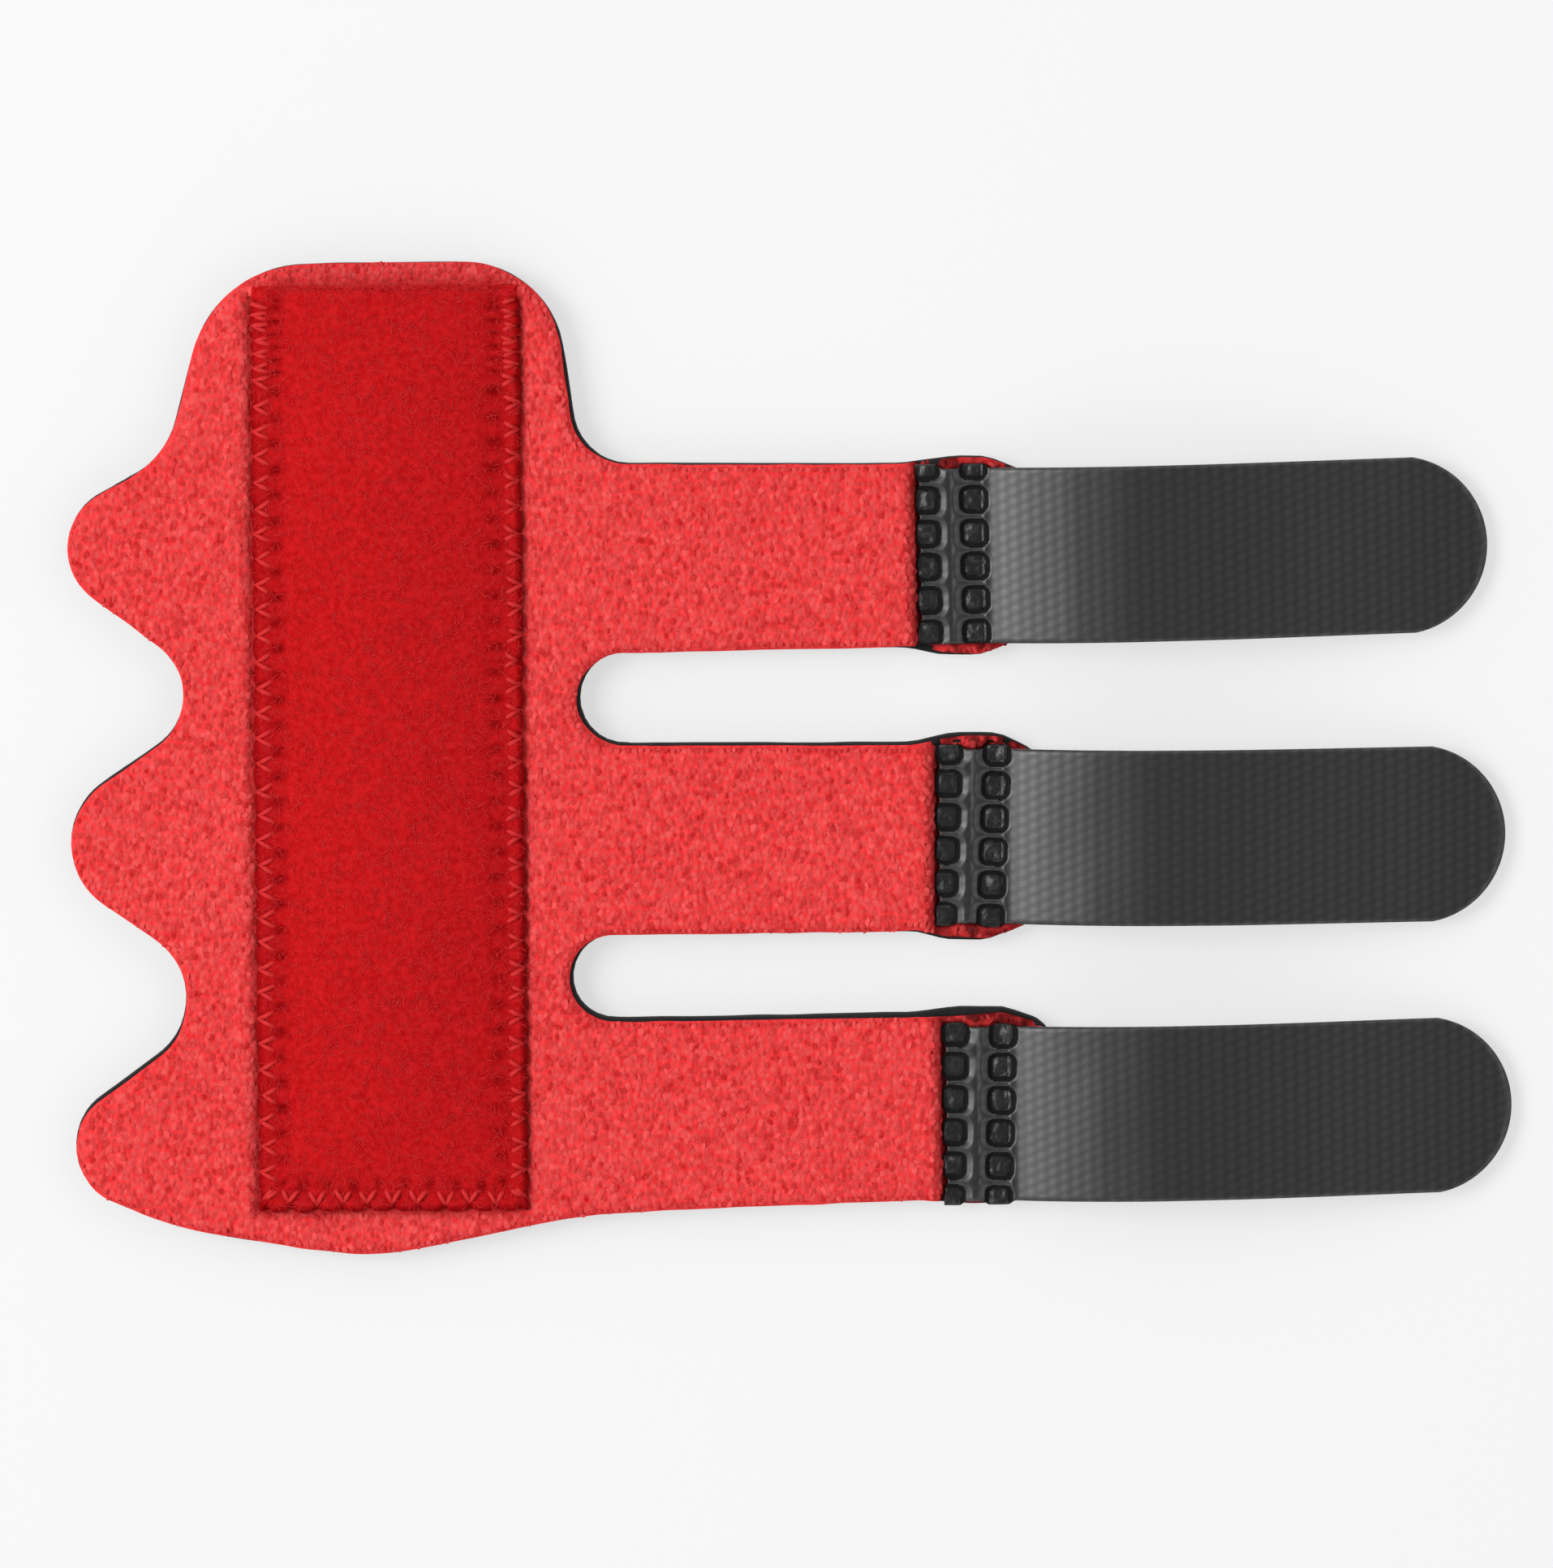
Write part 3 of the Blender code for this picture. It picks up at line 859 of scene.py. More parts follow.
def cloth_inset(x, y, outward):
    """How far the cloth's edge is back from the foam's, more on the fingertip side."""
    tipward = np.maximum(outward[..., 1], 0.0)
    along, across, which = nearest_arm(x, y)
    above, below = (np.array(side)[which] for side in zip(*WELD_INSETS))
    roll = bell(along, 1.0, 3.2) * (np.abs(across) > TAB_HALF_WIDTH - 1.0)
    slot_end = np.maximum(outward[..., 0], 0.0) ** 3 * bell(x, SLOT_END_X, 3.0)
    return (
        0.1 + 0.06 * noise(x, y, 2.4, 22) + 0.005 * tipward * (35.0 - y)
        + roll * np.where(across > 0.0, above, below) + 0.35 * slot_end
    )


def scorch_and_shade(x, y):
    """0 on free cloth, up to 1 where it is darker.

    Scorched specks beside the welds and melt in their dents are the cloth's own colour. It is
    also darker just before each tab's end, and it gets painted shade in the groove along the
    tape's sewn edges and a painted shadow above the tape's mouth.
    """
    along, across = arm_place(x, y)
    specks = smooth_step(noise(x, y, 0.5, 35) + 0.5 * noise(x, y, 1.4, 36), -0.5, 0.5)
    beside = window(along, (-1.4, 0.0), (7.5, 9.5))
    # Darker just before the tab's end.
    before = bell(np.minimum(along + 0.3, 0.0), 0.0, 0.45) * (along < 1.0)
    u, v = pocket_place(x, y)
    # Painted shade in the groove along the tape's sewn edges.
    groove = bell(pocket_depth(u, v), 0.0, 0.4) * along_sewn_sides(v)
    melted = 0.9 - 0.9 * smooth_step(dent_distance(x, y), -0.3, 0.1)
    melted = melted * (along > DENTS_START)
    melted = melted * (1.0 - smooth_step(np.abs(across), DENTS_SIDE - 0.3, DENTS_SIDE))
    # Painted shadow of the tape on the cloth above its mouth.
    mouth = 0.12 * smooth_step(v, TAPE_END - 0.5, TAPE_END) * (np.abs(u) < 14.0)
    return np.maximum.reduce([
        beside * (0.2 + 0.65 * specks), 0.6 * before, 0.5 * groove, melted, mouth,
    ])


cloth_x, cloth_y, cloth_keep, cloth_depth = cut_grid(CLOTH_CELL, cloth_inset)
cloth = closed_sheet(
    "loop_cloth", cloth_x, cloth_y, cloth_keep, cloth_height(cloth_x, cloth_y, cloth_depth),
    foam_height(cloth_x, cloth_y), CLOTH_CUT_SIDE, ground_red,
)
# The cloth's scorch, and its painted shade at the tape's edge and above its mouth.
mark(cloth, "scorch_press_and_shade", scorch_and_shade(*points_of(cloth).T[:2]))
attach(cloth, "root")
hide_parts("loop_face")

# %% [markdown]
# ## The loops
#
# Loop cloth is what hook tape grips: thousands of little arches of yarn. One arch is half a
# torus, cut by bisecting. It is copied all over the cloth as one mesh, because thousands of
# objects would be slow. The rows are staggered, and a slow noise turns neighbours alike, as
# knitting and brushing do, while each copy also has its own small turn, lean and size.

# %% Copies of a small shape


def as_template(piece):
    """The points and faces of a small object, which is then deleted.

    Its downward faces are noted too, because their edges must stay sharp.
    """
    mesh = piece.data
    points = np.array([tuple(v.co) for v in mesh.vertices])
    faces = [tuple(face.vertices) for face in mesh.polygons]
    downward = [face.normal.z < -0.05 for face in mesh.polygons]
    bpy.data.objects.remove(piece)
    bpy.data.meshes.remove(mesh)
    return points, faces, downward


def repeated(faces, copies, points):
    """The faces of all copies of a shape that has that many points."""
    shift = np.arange(copies)[:, None] * points
    return [copied for face in faces for copied in (np.array(face) + shift).tolist()]


def sharpen(mesh, downward):
    """Mark the edges between upper and downward faces, so shading doesn't blend the two."""
    edges = read_off(mesh.loops, "edge_index", kind=np.int32)
    corners = read_off(mesh.polygons, "loop_total", kind=np.int32)
    below = np.bincount(edges, np.repeat(downward, corners), len(mesh.edges))
    mesh.edges.foreach_set("use_edge_sharp", (below > 0.5) & (below < 1.5))


def many(name, template, origins, axes, *slots):
    """One mesh with a copy of the template at each origin, in that copy's own axes.

    Each copy also gets one number from 0 to 1, as the attribute `tint`, for its shade.
    """
    points, faces, downward = template
    placed = np.einsum("nij,pj->npi", axes, points) + np.asarray(origins)[:, None]
    faces = repeated(faces, len(placed), len(points))
    piece = new_piece(name, placed.reshape(-1, 3), faces, *slots)
    sharpen(piece.data, np.repeat(downward, len(placed)))
    tint = np.random.default_rng(len(placed)).uniform(0.0, 1.0, len(placed))
    mark(piece, "tint", np.repeat(tint, len(points)))
    return piece


def axes_on(normal, angle, sizes):
    """Axes for copies that stand along `normal`, turned by `angle`, times their sizes."""
    up = normal / np.linalg.norm(normal, axis=1)[:, None]
    along = np.stack([-np.sin(angle), np.cos(angle), np.zeros(len(angle))], 1)
    side = np.cross(along, up)
    side /= np.linalg.norm(side, axis=1)[:, None]
    along = np.cross(up, side)
    return np.stack([side * sizes[:, :1], along * sizes[:, 1:2], up * sizes[:, 2:]], 2)


# %% One loop
bpy.ops.object.select_all(action="DESELECT")
bpy.ops.mesh.primitive_torus_add(
    rotation=(0.0, math.pi / 2, 0.0), major_segments=8, minor_segments=4,
    major_radius=0.36, minor_radius=0.15,
)
bpy.ops.object.transform_apply(location=False, rotation=True, scale=False)
bpy.ops.object.mode_set(mode="EDIT")
bpy.ops.mesh.select_all(action="SELECT")
bpy.ops.mesh.bisect(
    plane_co=(0.0, 0.0, 0.1), plane_no=(0.0, 0.0, 1.0), use_fill=True, clear_inner=True
)
bpy.ops.object.mode_set(mode="OBJECT")
one_loop = as_template(bpy.context.object)
print("a loop has", len(one_loop[1]), "faces")

# %% [markdown]
# Loops stand on the cloth's own slope, so those at its edge lean outwards and blur it. None
# are made under the pocket and the tabs, where nobody could see them.

# %% Places of the loops
LOOP_COLUMN, LOOP_ROW = 0.58, 0.6
LOOP_WANDER = 0.15


def loop_places():
    """Places of all loops on the cloth, their depth inside its edge and their way out."""
    low, high = outline.min(0), outline.max(0)
    rng = np.random.default_rng(31)
    i, j = np.meshgrid(
        np.arange(0, (high[0] - low[0]) / LOOP_COLUMN),
        np.arange(0, (high[1] - low[1]) / LOOP_ROW), indexing="ij",
    )
    wander = [rng.uniform(-LOOP_WANDER, LOOP_WANDER, i.shape) for _ in "xy"]
    x = (low[0] + (i + 0.5 * (j % 2)) * LOOP_COLUMN + wander[0]).ravel()
    y = (low[1] + j * LOOP_ROW + wander[1]).ravel()
    depth, _, outward = edge_distance(x, y)
    depth = depth - cloth_inset(x, y, outward)
    along, across = arm_place(x, y)
    under_tab = (along > -0.25) & (np.abs(across) < TAB_HALF_WIDTH + 0.1)
    u, v = pocket_place(x, y)
    beside_tape = (pocket_depth(u, v) > -0.3) & along_sewn_sides(v)
    in_dent = (dent_distance(x, y) < 0.2) & (along > DENTS_START) & (np.abs(across) < DENTS_SIDE)
    hidden = under_tab | in_dent | beside_tape | (pocket_depth(u, v) > 0.5)
    shown = (depth > 0.1) & ~hidden
    return x[shown], y[shown], depth[shown], outward[shown]


loop_x, loop_y, loop_depth, loop_outward = loop_places()
print("loops:", len(loop_x))

# %% All loops
LOOP_SINK = 0.1
STEEPEST = 0.5
PROBE = 0.05
ARMS_START_X = -18.5


def cloth_slope(x, y):
    """The upward normal of the cloth, away from its edge."""
    rises = []
    for dx, dy in ((PROBE, 0.0), (0.0, PROBE)):
        ahead = cloth_height(x + dx, y + dy, WELL_INSIDE)
        rises.append((ahead - cloth_height(x - dx, y - dy, WELL_INSIDE)) / (2 * PROBE))
    return np.stack([-rises[0], -rises[1], np.ones(len(x))], 1)


rng = np.random.default_rng(32)
count = len(loop_x)
standing = cloth_slope(loop_x, loop_y)
standing[:, :2] = np.clip(standing[:, :2], -STEEPEST, STEEPEST)
standing[:, :2] += loop_outward * (0.45 * unit(1.0 - loop_depth / 0.7))[:, None]
standing[:, :2] += rng.normal(0.0, 0.15, (count, 2))
turn = 0.25 * noise(loop_x, loop_y, 3.2, 33) + rng.normal(0.0, 0.45, count)
sizes = np.stack([
    rng.uniform(1.4, 2.2, count), rng.uniform(0.75, 1.2, count), rng.uniform(0.24, 0.4, count)
], 1)
sizes *= (0.6 + 0.4 * smooth_step(loop_depth, 0.1, 0.8))[:, None]
loop_axes = axes_on(standing, turn, sizes)
loop_z = cloth_height(loop_x, loop_y, loop_depth) - LOOP_SINK
loop_origins = np.stack([loop_x, loop_y, loop_z], 1)
on_arms = loop_x > ARMS_START_X
loops = []
for name, part in (("panel_loops", ~on_arms), ("arm_loops", on_arms)):
    loops.append(many(name, one_loop, loop_origins[part], loop_axes[part], loop_red))
    # The loops take the same scorch and painted shade as the cloth under them.
    shade = scorch_and_shade(loop_x[part], loop_y[part])
    mark(loops[-1], "scorch_press_and_shade", np.repeat(shade, len(one_loop[0])))
for piece in loops:
    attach(piece, "root")

# %% [markdown]
# ## The pocket
#
# The pocket is one piece of brushed tape. A zigzag seam holds its left, right and palm
# edges flat, so each stitch pinches it and leaves a dimple. Between the seams it rises in a
# low arch, where the stay goes in. It is made as a flat grid in the tape's own axes with a
# height for every point: arch, seam, dimples and the soft unevenness of brushed pile.

# %% The seam's path
STITCH_PITCH, TACK_PITCH = 2.4, 1.2
SEAM_START, BACK_TACK = 1.6, 7.2
STITCH_OUTER, STITCH_INNER = 0.2, 2.5


def stitches_to(u, v):
    """How many stitches a point beside the seam is from its start: whole at the holes.

    Even holes are at the tape's edge and odd ones further in. The side seams start with
    the short stitches of the back-tack.
    """
    down = np.maximum(TAPE_END - SEAM_START - v, 0.0)
    side = np.minimum(down, BACK_TACK) / (TACK_PITCH / 2)
    side = side + np.maximum(down - BACK_TACK, 0.0) / (STITCH_PITCH / 2)
    at_foot = v + TAPE_END < TAPE_SIDE - np.abs(u)
    return np.where(at_foot, u / (STITCH_PITCH / 2), side)


def swing(stitches):
    """How far inside the tape's edge the thread is."""
    share = 1.0 - np.abs(1.0 - np.mod(stitches, 2.0))
    return STITCH_OUTER + (STITCH_INNER - STITCH_OUTER) * share


def sewn_depth(u, v):
    """How far inside the nearest sewn edge, where the mouth's edge isn't sewn."""
    return np.minimum(TAPE_SIDE - np.abs(u), TAPE_END + v)


def sewn_share(v):
    """0 at the mouth, 1 where the seam has begun."""
    return smooth_step(TAPE_END - v, SEAM_START - 0.8, SEAM_START + 0.2)


print("stitches down one side:", round(float(stitches_to(np.array(-12.0), np.array(-30.0)))))

# %% Heights of the pocket tape
TAPE_FLAT_TOP = 3.75
TAPE_CROWN, MOUTH_CROWN = 1.55, 0.8
TAPE_SEAM, CROWN_FADE, MOUTH_FADE = 2.9, 9.0, 14.0
# How deep the seam, the line of the thread and the inner and outer holes are pulled.
SEAM_DIP, THREAD_DIP, INNER_DIP, OUTER_DIP = 0.2, 0.14, 0.35, 0.5
# The thread slants, so its line is this much nearer than the distance across the seam.
THREAD_SLANT = 0.455


def tape_crown(u, v):
    """How high the tape arches over the space for the stay."""
    arch = np.cos(unit(np.abs(u) / (TAPE_SIDE - TAPE_SEAM)) * math.pi / 2) ** 0.9
    to_mouth = unit((TAPE_END - v) / MOUTH_FADE)
    to_end = unit((TAPE_END - TAPE_SEAM + v) / CROWN_FADE)
    crown = MOUTH_CROWN + (TAPE_CROWN - MOUTH_CROWN) * np.sin(math.pi / 2 * to_mouth)
    return arch * crown * np.sin(math.pi / 2 * to_end)


def tape_top(u, v):
    """Top of the tape, from its own middle."""
    depth, sewn, stitches = sewn_depth(u, v), sewn_share(v), stitches_to(u, v)
    waves = np.cos(math.pi * stitches)
    seam = bell(depth, 1.3, 1.2) * sewn
    groove = bell((depth - swing(stitches)) * THREAD_SLANT, 0.0, 0.2) * (depth < 3.0) * sewn
    inner = bell(depth, STITCH_INNER, 0.6) * unit(-waves) * sewn
    outer = bell(depth, STITCH_OUTER, 0.5) * unit(waves) ** 2 * sewn
    pile_relief = 0.03 * noise(u, v, 0.8, 41) + 0.07 * noise(u, v, 2.6, 42)
    return (
        TAPE_FLAT_TOP + tape_crown(u, v) - SEAM_DIP * seam - THREAD_DIP * groove
        - INNER_DIP * inner - OUTER_DIP * outer - 0.45 * rounding(pocket_depth(u, v), 0.6)
        + pile_relief
    )


def tape_press_and_shade(u, v):
    """How much darker the tape is, from 0 to 1. Pile pressed flat by the seam looks darker,
    and the needle holes, the dimples between stitches, the groove along the tape's edge and
    the ends of the back-tack get painted shade.
    """
    depth, sewn = sewn_depth(u, v), sewn_share(v)
    waves = np.cos(math.pi * stitches_to(u, v))
    uneven = 0.8 + 0.4 * noise(u, v, 1.6, 44)
    band = 0.22 * bell(depth, 1.5, 1.4)
    # Painted shade in the needle holes, the dimples between stitches and the edge's groove.
    holes = 0.9 * bell(depth, STITCH_OUTER, 0.5) * unit(waves)
    dimples = 0.7 * bell(depth, 2.1, 0.8) * unit(-waves) ** 0.45
    rim = 0.7 * bell(np.maximum(pocket_depth(u, v), 0.0), 0.0, 0.45)
    scorch_press_and_shade = np.maximum.reduce([band * uneven, holes * uneven, dimples * uneven, rim]) * sewn
    # Painted shade in the dimples at the ends of the back-tack.
    knot = np.hypot(np.abs(u) - TAPE_SIDE + 2.4, v - TAPE_END + 1.5)
    return np.maximum(scorch_press_and_shade, 0.7 * bell(knot, 0.0, 0.6))


print("crown in the middle:", round(float(tape_crown(np.array(0.0), np.array(0.0))), 2), "mm")

# %% Pocket tape
TAPE_THICKNESS, TAPE_CELL = 0.65, 0.3
TAPE_CUT_SIDE = ((0.1, 0.2), (0.14, 0.5), (0.08, 0.85), (-0.05, 1.0))

tape_u, tape_v = np.meshgrid(
    np.linspace(-TAPE_SIDE, TAPE_SIDE, round(POCKET_WIDTH / TAPE_CELL)),
    np.linspace(-TAPE_END, TAPE_END, round(POCKET_LENGTH / TAPE_CELL)), indexing="ij",
)
tape_z = tape_top(tape_u, tape_v)
edge_wave = 0.12 * noise(tape_u, tape_v, 1.1, 43)
edge_wave = edge_wave - 0.2 * unit(np.cos(math.pi * stitches_to(tape_u, tape_v)))
near_edge = bell(pocket_depth(tape_u, tape_v), 0.0, 0.8)
tape_u = tape_u + np.sign(tape_u) * edge_wave * near_edge * (np.abs(tape_u) > TAPE_SIDE - 1.5)
tape_v = tape_v + np.sign(tape_v) * edge_wave * near_edge * (np.abs(tape_v) > TAPE_END - 1.45)
tape_x, tape_y = set_back(tape_u, tape_v, POCKET_CENTRE, POCKET_TURN)
tape = closed_sheet(
    "pocket_tape", tape_x, tape_y, None, tape_z, tape_z - TAPE_THICKNESS, TAPE_CUT_SIDE,
    plush_red,
)
# Pressed pile and painted shade along the seam.
mark(tape, "scorch_press_and_shade", tape_press_and_shade(*pocket_place(*points_of(tape).T[:2])))
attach(tape, "root")
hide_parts("stay_pocket")

# %% [markdown]
# ## Fibres of the plush
#
# Brushing pulls single hairs out of the tape, and they lie curled on it, catching the light.
# A hair is a thin, flat spindle with two rings of three points: the fewest faces that still
# bend. Like the loops, they are copies in one mesh, but each gets its own bend as well. Some
# stick out over the mouth's edge, where the tape is cut.

# %% Shape of the fibres
HAIR_SHARES = np.array([0.0, 0.3, 0.62, 1.0])
HAIR_FLATNESS = 0.4


def fibre_mesh(name, start, heading, length, bend, rise, radius, *slots):
    """Curled hairs as one mesh of spindles, from arrays with a row for each hair."""
    angle = heading[:, None] + bend[:, None] * (HAIR_SHARES - 0.5)[None]
    step = np.diff(HAIR_SHARES)[None] * length[:, None]
    root = np.zeros((len(length), 1))
    x = np.concatenate([root, np.cumsum(step * np.cos(angle[:, 1:]), 1)], 1)
    y = np.concatenate([root, np.cumsum(step * np.sin(angle[:, 1:]), 1)], 1)
    z = rise[:, None] * np.sin(math.pi * HAIR_SHARES)[None]
    line = np.stack([x, y, z], 2) + start[:, None]
    points, faces = [line[:, :1]], []
    spin = 2.0 * math.pi * (np.arange(3) / 3.0 + 0.25)
    up = np.array([0.0, 0.0, 1.0])
    for ring in (1, 2):
        side = np.stack([-np.sin(angle[:, ring]), np.cos(angle[:, ring]), np.zeros(len(x))], 1)
        around = side[:, None] * np.cos(spin)[None, :, None]
        around = around + HAIR_FLATNESS * up * np.sin(spin)[None, :, None]
        points.append(line[:, ring : ring + 1] + around * radius[:, None, None])
    points = np.concatenate([*points, line[:, 3:]], 1)
    for a in range(3):
        b = (a + 1) % 3
        faces += [(0, 1 + b, 1 + a), (1 + a, 1 + b, 4 + b, 4 + a), (4 + a, 4 + b, 7)]
    hairs = new_piece(name, points.reshape(-1, 3), repeated(faces, len(points), 8), *slots)
    hairs.data.shade_flat()
    return hairs


# %% Fibres
FIBRES, MOUTH_FIBRES = 14000, 700

rng = np.random.default_rng(51)
hair_u = rng.uniform(-TAPE_SIDE + 0.3, TAPE_SIDE - 0.3, FIBRES)
hair_v = rng.uniform(-TAPE_END + 0.3, TAPE_END + 0.1, FIBRES)
hair_u[:MOUTH_FIBRES] *= 0.9
hair_v[:MOUTH_FIBRES] = TAPE_END + rng.normal(-0.1, 0.2, MOUTH_FIBRES)
hair_x, hair_y = set_back(hair_u, hair_v, POCKET_CENTRE, POCKET_TURN)
hair_z = tape_top(hair_u, np.minimum(hair_v, TAPE_END - 0.2)) + rng.uniform(-0.02, 0.1, FIBRES)
fibres = fibre_mesh(
    "plush_fibres", np.stack([hair_x, hair_y, hair_z], 1),
    rng.uniform(0.0, 2.0 * math.pi, FIBRES), rng.uniform(0.5, 1.5, FIBRES),
    rng.normal(0.0, 1.8, FIBRES), rng.uniform(0.0, 0.06, FIBRES),
    rng.uniform(0.02, 0.035, FIBRES), fibre_red,
)
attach(fibres, "root")

# %% [markdown]
# ## The zigzag thread
#
# A zigzag machine swings its needle from side to side: the thread crosses the tape's edge
# in slanted stitches and dives into a hole at each turn. It is drawn as a curve through the
# holes, with an arch between each pair, given a round section, and then made a mesh. At the
# mouth the seam starts and ends in a stretch of short stitches, the back-tack.

# %% The thread's line
STITCH_LIFT = 0.32
SUNK, SUNK_ON_THE_RIGHT = 0.14, 0.2
FOOT_STITCHES = 9
HOLE_WANDER = 0.11


def seam_points(seed):
    """Needle holes down the left seam, along the palm end and up the right seam."""
    tacks = round(BACK_TACK / (TACK_PITCH / 2))
    number = np.arange(tacks + int((2 * TAPE_END - SEAM_START - BACK_TACK) / STITCH_PITCH * 2))
    down = np.minimum(number, tacks) * TACK_PITCH / 2
    down = down + np.maximum(number - tacks, 0) * STITCH_PITCH / 2
    side, inside = TAPE_END - SEAM_START - down, swing(number)
    left = np.stack([-TAPE_SIDE + inside, side], 1)
    right = np.stack([TAPE_SIDE - inside, side], 1)
    across = np.arange(-FOOT_STITCHES, FOOT_STITCHES + 1)
    foot = np.stack([across * STITCH_PITCH / 2, -TAPE_END + 0.6 + 0.85 * swing(across)], 1)
    holes = np.concatenate([left, foot, right[::-1]])
    return holes + np.random.default_rng(seed).normal(0.0, HOLE_WANDER, holes.shape)


def stitched(holes):
    """The thread's line through the holes. It shows near the outer hole, then sinks in."""
    line = []
    for start, end in zip(holes[:-1], holes[1:]):
        from_outer = sewn_depth(*start) < sewn_depth(*end)
        sunk = SUNK_ON_THE_RIGHT if start[0] > 9.0 else SUNK
        for share in (0.0, 0.1, 0.25, 0.4, 0.6, 0.75, 0.9):
            u, v = start + (end - start) * share
            x, y = set_back(u, v, POCKET_CENTRE, POCKET_TURN)
            out = max((share if from_outer else 1.0 - share) - 0.06, 0.0)
            arch = math.sin(math.pi * min(out / 0.6, 1.0)) - 3.0 * max(out - 0.3, 0.0)
            z = float(tape_top(np.array(u), np.array(v))) - sunk + STITCH_LIFT * arch
            line.append((float(x), float(y), z))
    return line


seam_line = stitched(seam_points(61))
print("the thread's line has", len(seam_line), "points")

# %% Thread
THREAD_RADIUS = 0.22

path = bpy.data.curves.new("seam_thread", "CURVE")
path.dimensions = "3D"
spline = path.splines.new("POLY")
spline.points.add(len(seam_line) - 1)
for point, place in zip(spline.points, seam_line):
    point.co = (*(c * MM for c in place), 1.0)
path.bevel_depth = THREAD_RADIUS * MM
path.bevel_resolution = 1
path.use_fill_caps = True
path.materials.append(thread_red)
thread = bpy.data.objects.new("seam_thread", path)
bpy.context.scene.collection.objects.link(thread)
bpy.ops.object.select_all(action="DESELECT")
thread.select_set(True)
bpy.context.view_layer.objects.active = thread
bpy.ops.object.convert(target="MESH")
thread = bpy.context.object
bpy.ops.object.shade_smooth()
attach(thread, "root")
print("thread:", len(thread.data.polygons), "faces")

# %% [markdown]
# ## The hook tabs
#
# A tab is moulded hook tape: a smooth back, seen from above, and hooks below. Each tooth of
# the horn leaves a dent with soft shoulders, steep walls and a crumpled, slightly glossy
# floor, and the melted plastic spills a little over the tab's sides. Past the weld the
# tab springs up and comes down to the table at its tip.
#
# The tab is a grid in its own axes, fine where the dents are and coarser beyond, with a
# height for every point. The grid is stretched towards the tip so its end is the tip's arc.

# %% Heights of a tab
TAB_BEND = (
    (0.0, 2.4), (6.4, 2.4), (8.0, 3.0), (9.4, 3.5), (11.5, 4.1), (15.0, 4.85), (20.0, 5.35),
    (26.0, 5.15), (33.0, 4.25), (40.0, 3.0), (47.0, 1.8), (53.1, 1.12),
)
TAB_THICKNESS = 0.45
DENT_DEPTH, SHOULDER_DEPTH, FLOOR_RISE, CHANNEL_DEPTH = 0.4, 0.34, 0.08, 0.07
SIDE_FALL = 0.12


def tab_height(s, t, arm):
    """Top of a tab at distances along and across it."""
    distance = square_distance(s, t, arm)
    wall = smooth_step(-distance, -0.16, 0.12)
    between = np.abs((t - arm.weld_shift) / SQUARE_PITCH % 1.0 - 0.5)
    shoulder = 1.0 - smooth_step(distance, 0.05, 0.85)
    shoulder = shoulder * (1.0 - 0.6 * smooth_step(between, 0.25, 0.45))
    floor = smooth_step(-distance, 0.1, 0.8)
    crumple = 0.16 * noise(s, t, 0.85, arm.seed) + 0.06 * noise(s, t, 0.42, arm.seed + 1)
    rolled = (1.0 - unit((TAB_HALF_WIDTH - np.abs(t)) / 0.35)) * (distance > 0.3)
    return (
        smooth_table(TAB_BEND, s) - DENT_DEPTH * wall - SHOULDER_DEPTH * shoulder * (s < 6.0)
        + floor * (FLOOR_RISE + crumple) - CHANNEL_DEPTH * bell(s, SQUARE_MIDDLE, 0.32)
        - SIDE_FALL * rolled**2 + 0.06 * noise(s, t, 7.0, arm.seed + 2) * smooth_step(s, 8.0, 14.0)
    )


print("a tab's highest point:", max(height for _, height in TAB_BEND), "mm")

# %% Shape of a tab
WELD_CELL, TAB_CELL, ACROSS_CELL = 0.12, 0.7, 0.15
FINE_END, STRETCH_START = 7.6, 40.0
TAB_TIP_BULGE = 6.8
TIP_RADIUS = (TAB_HALF_WIDTH**2 + TAB_TIP_BULGE**2) / (2 * TAB_TIP_BULGE)
SPILL, SCALLOP = 0.4, 0.6
TAB_CUT_SIDE = ((0.03, 0.25), (0.03, 0.75), (-0.03, 1.0))


def new_tab(arm):
    """One tab as a closed sheet."""
    along = np.concatenate([
        np.arange(0.0, FINE_END, WELD_CELL), np.arange(FINE_END, TAB_LENGTH, TAB_CELL),
        [TAB_LENGTH],
    ])
    across = np.linspace(-TAB_HALF_WIDTH, TAB_HALF_WIDTH, round(2 * TAB_HALF_WIDTH / ACROSS_CELL))
    s, t = np.meshgrid(along, across, indexing="ij")
    tip = TAB_LENGTH - TIP_RADIUS + np.sqrt(TIP_RADIUS**2 - t**2)
    beyond = (s - STRETCH_START) * (tip - STRETCH_START) / (TAB_LENGTH - STRETCH_START)
    near_square = np.clip(0.3 - square_distance(0.1 + 0.0 * s, t, arm), 0.0, 0.75)
    scallop = -SCALLOP * near_square * unit(1.0 - s / 1.2)
    s = np.where(s > STRETCH_START, STRETCH_START + beyond, s + scallop + 0.15)
    at_side = square_distance(s, np.sign(t) * (TAB_HALF_WIDTH + 0.5), arm)
    side = unit(np.abs(t) - TAB_HALF_WIDTH + 1.0)
    t = t + np.sign(t) * SPILL * side * (1.0 - smooth_step(at_side, -0.3, 0.25))
    top = tab_height(s, t, arm)
    x, y = set_back(s, t, arm.place, arm.turn)
    return closed_sheet(
        f"hook_tape_{arm.name}", x, y, None, top, top - TAB_THICKNESS, TAB_CUT_SIDE,
        hook_black, melt_black, wall_black,
    )


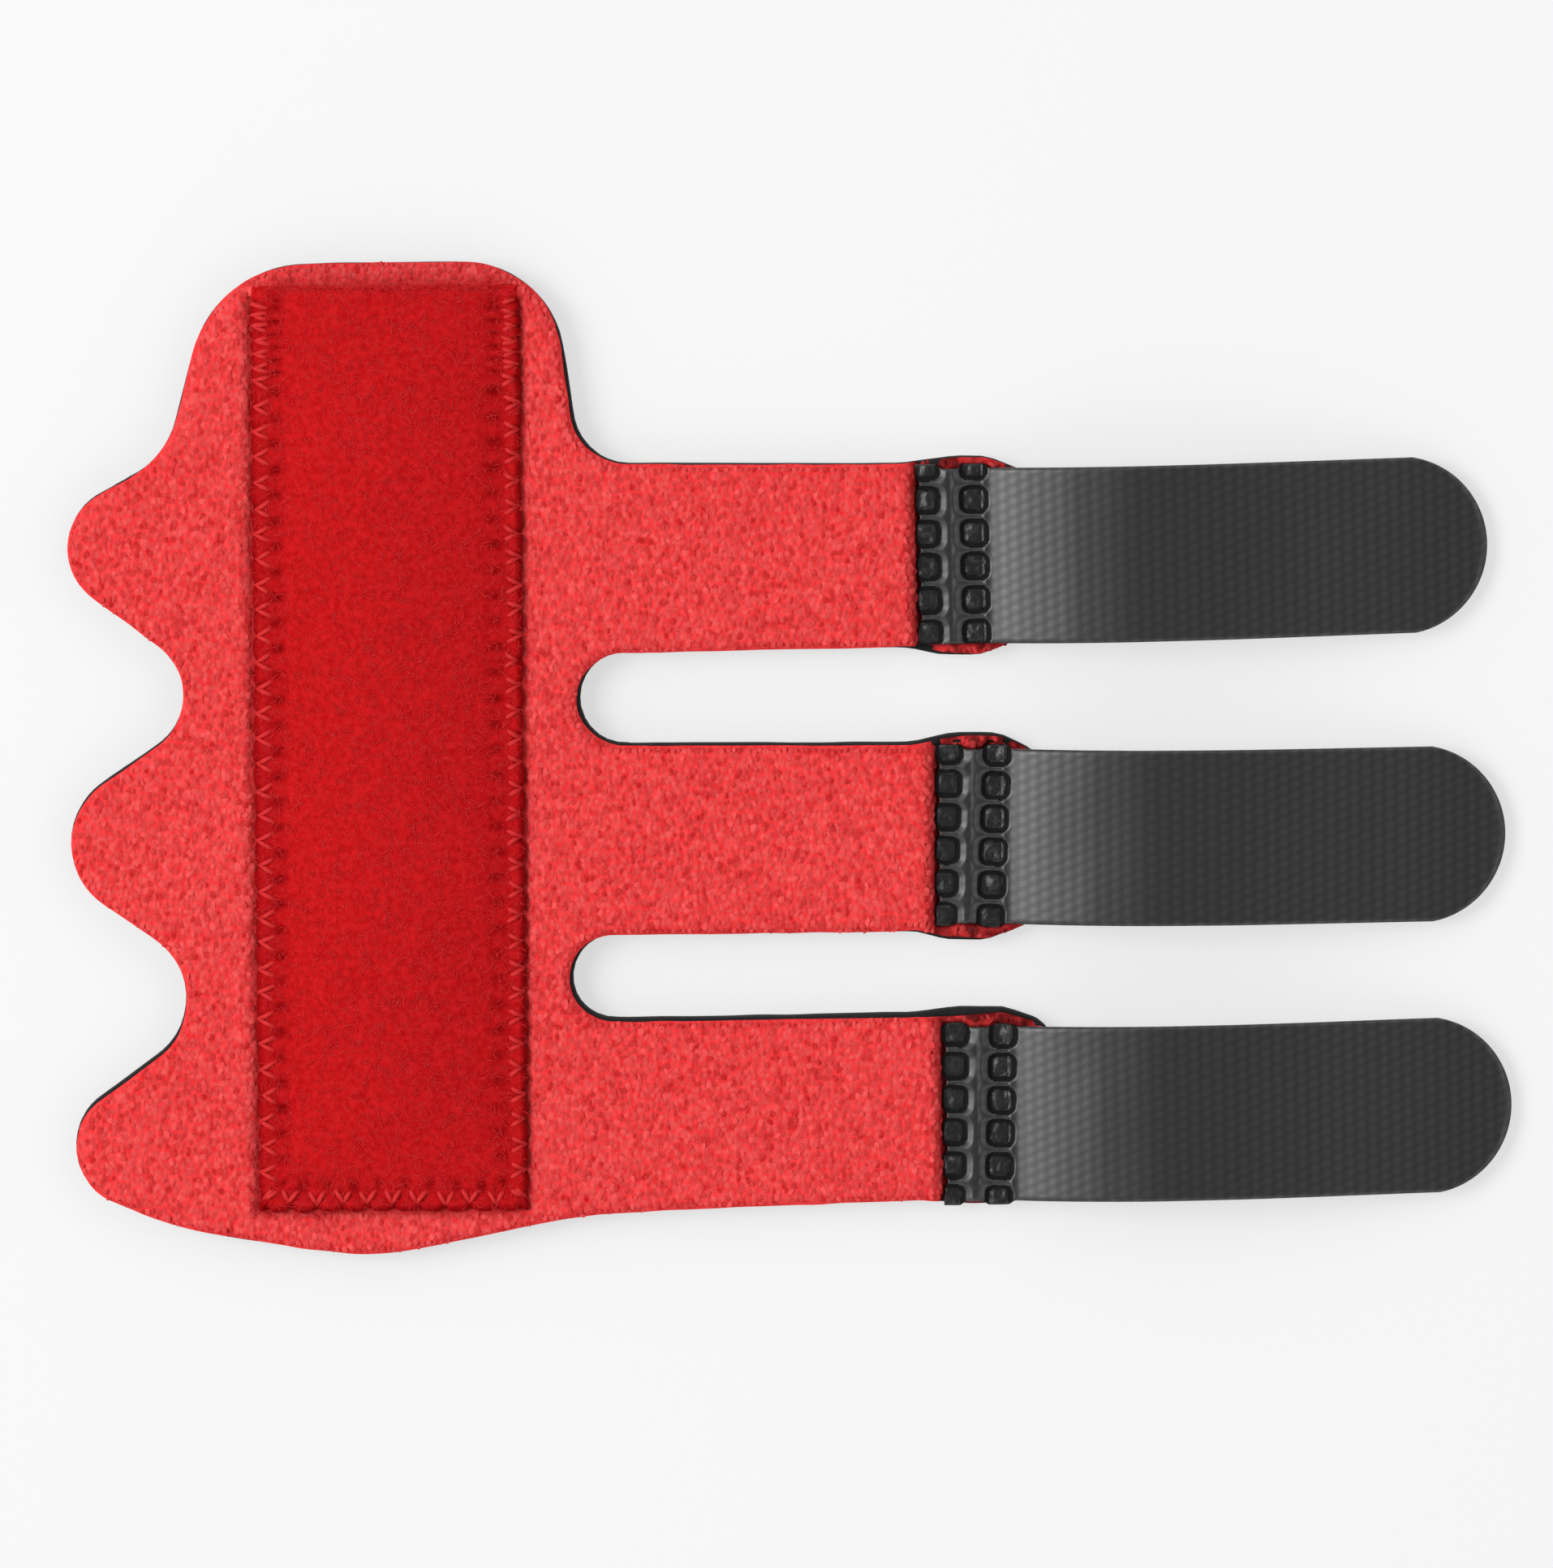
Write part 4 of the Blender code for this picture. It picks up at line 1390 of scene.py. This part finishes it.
def paint_tab(piece, arm):
    """Melted floors and burnt walls for the dents, and a UV map in mm along and across."""
    mesh = piece.data
    centres = read_off(mesh.polygons, "center", 3) / MM
    s, t = turned(centres[:, 0], centres[:, 1], arm.place, arm.turn)
    distance = square_distance(s, t, arm) + 0.06 * noise(s, t, 0.7, 90)
    finish = np.where(distance < -0.34, 1, np.where(distance < 0.1, 2, 0))
    mesh.polygons.foreach_set("material_index", finish.astype(np.int32))
    points = points_of(piece)[read_off(mesh.loops, "vertex_index", kind=np.int32)]
    layer = mesh.uv_layers.new(name="along_and_across")
    place = np.stack(turned(points[:, 0], points[:, 1], arm.place, arm.turn), 1)
    layer.data.foreach_set("uv", place.ravel())


for arm in ARMS:
    tab = new_tab(arm)
    paint_tab(tab, arm)
    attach(tab, "root")
    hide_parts(f"hook_tab_{arm.name}")

# %% [markdown]
# ## The hooks
#
# Under the tabs stand rows of small moulded hooks. From above none shows, but from the side
# they are what lifts the tape off the table. One hook is a square foot, extruded and
# narrowed step by step as its stem leans over, and then copied in staggered rows.

# %% One hook
HOOK_FOOT = 0.34
# How far each step goes down and sideways, and how much narrower it ends.
HOOK_STEPS = ((0.3, 0.02, 0.75), (0.24, 0.08, 0.85), (0.1, 0.16, 0.85), (-0.08, 0.16, 0.6))

bpy.ops.object.select_all(action="DESELECT")
bpy.ops.mesh.primitive_plane_add(size=HOOK_FOOT)
bpy.ops.object.mode_set(mode="EDIT")
bpy.ops.mesh.select_all(action="SELECT")
for down, reach, narrow in HOOK_STEPS:
    bpy.ops.mesh.extrude_region_move(TRANSFORM_OT_translate={"value": (reach, 0.0, -down)})
    bpy.ops.transform.resize(value=(narrow, narrow, 1.0))
bpy.ops.mesh.select_all(action="SELECT")
bpy.ops.mesh.normals_make_consistent(inside=False)
bpy.ops.object.mode_set(mode="OBJECT")
one_hook = as_template(bpy.context.object)
print("a hook has", len(one_hook[1]), "faces")

# %% All hooks
HOOK_ROW, HOOK_STEP = 0.78, 1.0
FIRST_HOOK, HOOK_ROWS, HOOKS_ASIDE = 9.6, 54, 8

for arm in ARMS:
    i, j = np.meshgrid(
        np.arange(HOOK_ROWS), np.arange(-HOOKS_ASIDE, HOOKS_ASIDE + 1), indexing="ij"
    )
    s = FIRST_HOOK + HOOK_ROW * i.ravel()
    t = HOOK_STEP * (j.ravel() + 0.5 * (i.ravel() % 2))
    inside = (np.abs(t) < TAB_HALF_WIDTH - 0.4) & (
        np.hypot(np.maximum(s - TAB_LENGTH + TIP_RADIUS, 0.0), t) < TIP_RADIUS - 0.5
    )
    s, t, row = s[inside], t[inside], i.ravel()[inside]
    x, y = set_back(s, t, arm.place, arm.turn)
    z = tab_height(s, t, arm) - TAB_THICKNESS + 0.03
    heading = np.where(row % 2 == 0, 0.0, math.pi) + arm.turn
    axes = np.zeros((len(s), 3, 3))
    axes[:, 0, 0], axes[:, 0, 1] = np.cos(heading), -np.sin(heading)
    axes[:, 1, 0], axes[:, 1, 1] = np.sin(heading), np.cos(heading)
    axes[:, 2, 2] = 1.0
    hooks = many(f"hooks_{arm.name}", one_hook, np.stack([x, y, z], 1), axes, hook_black)
    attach(hooks, "root")
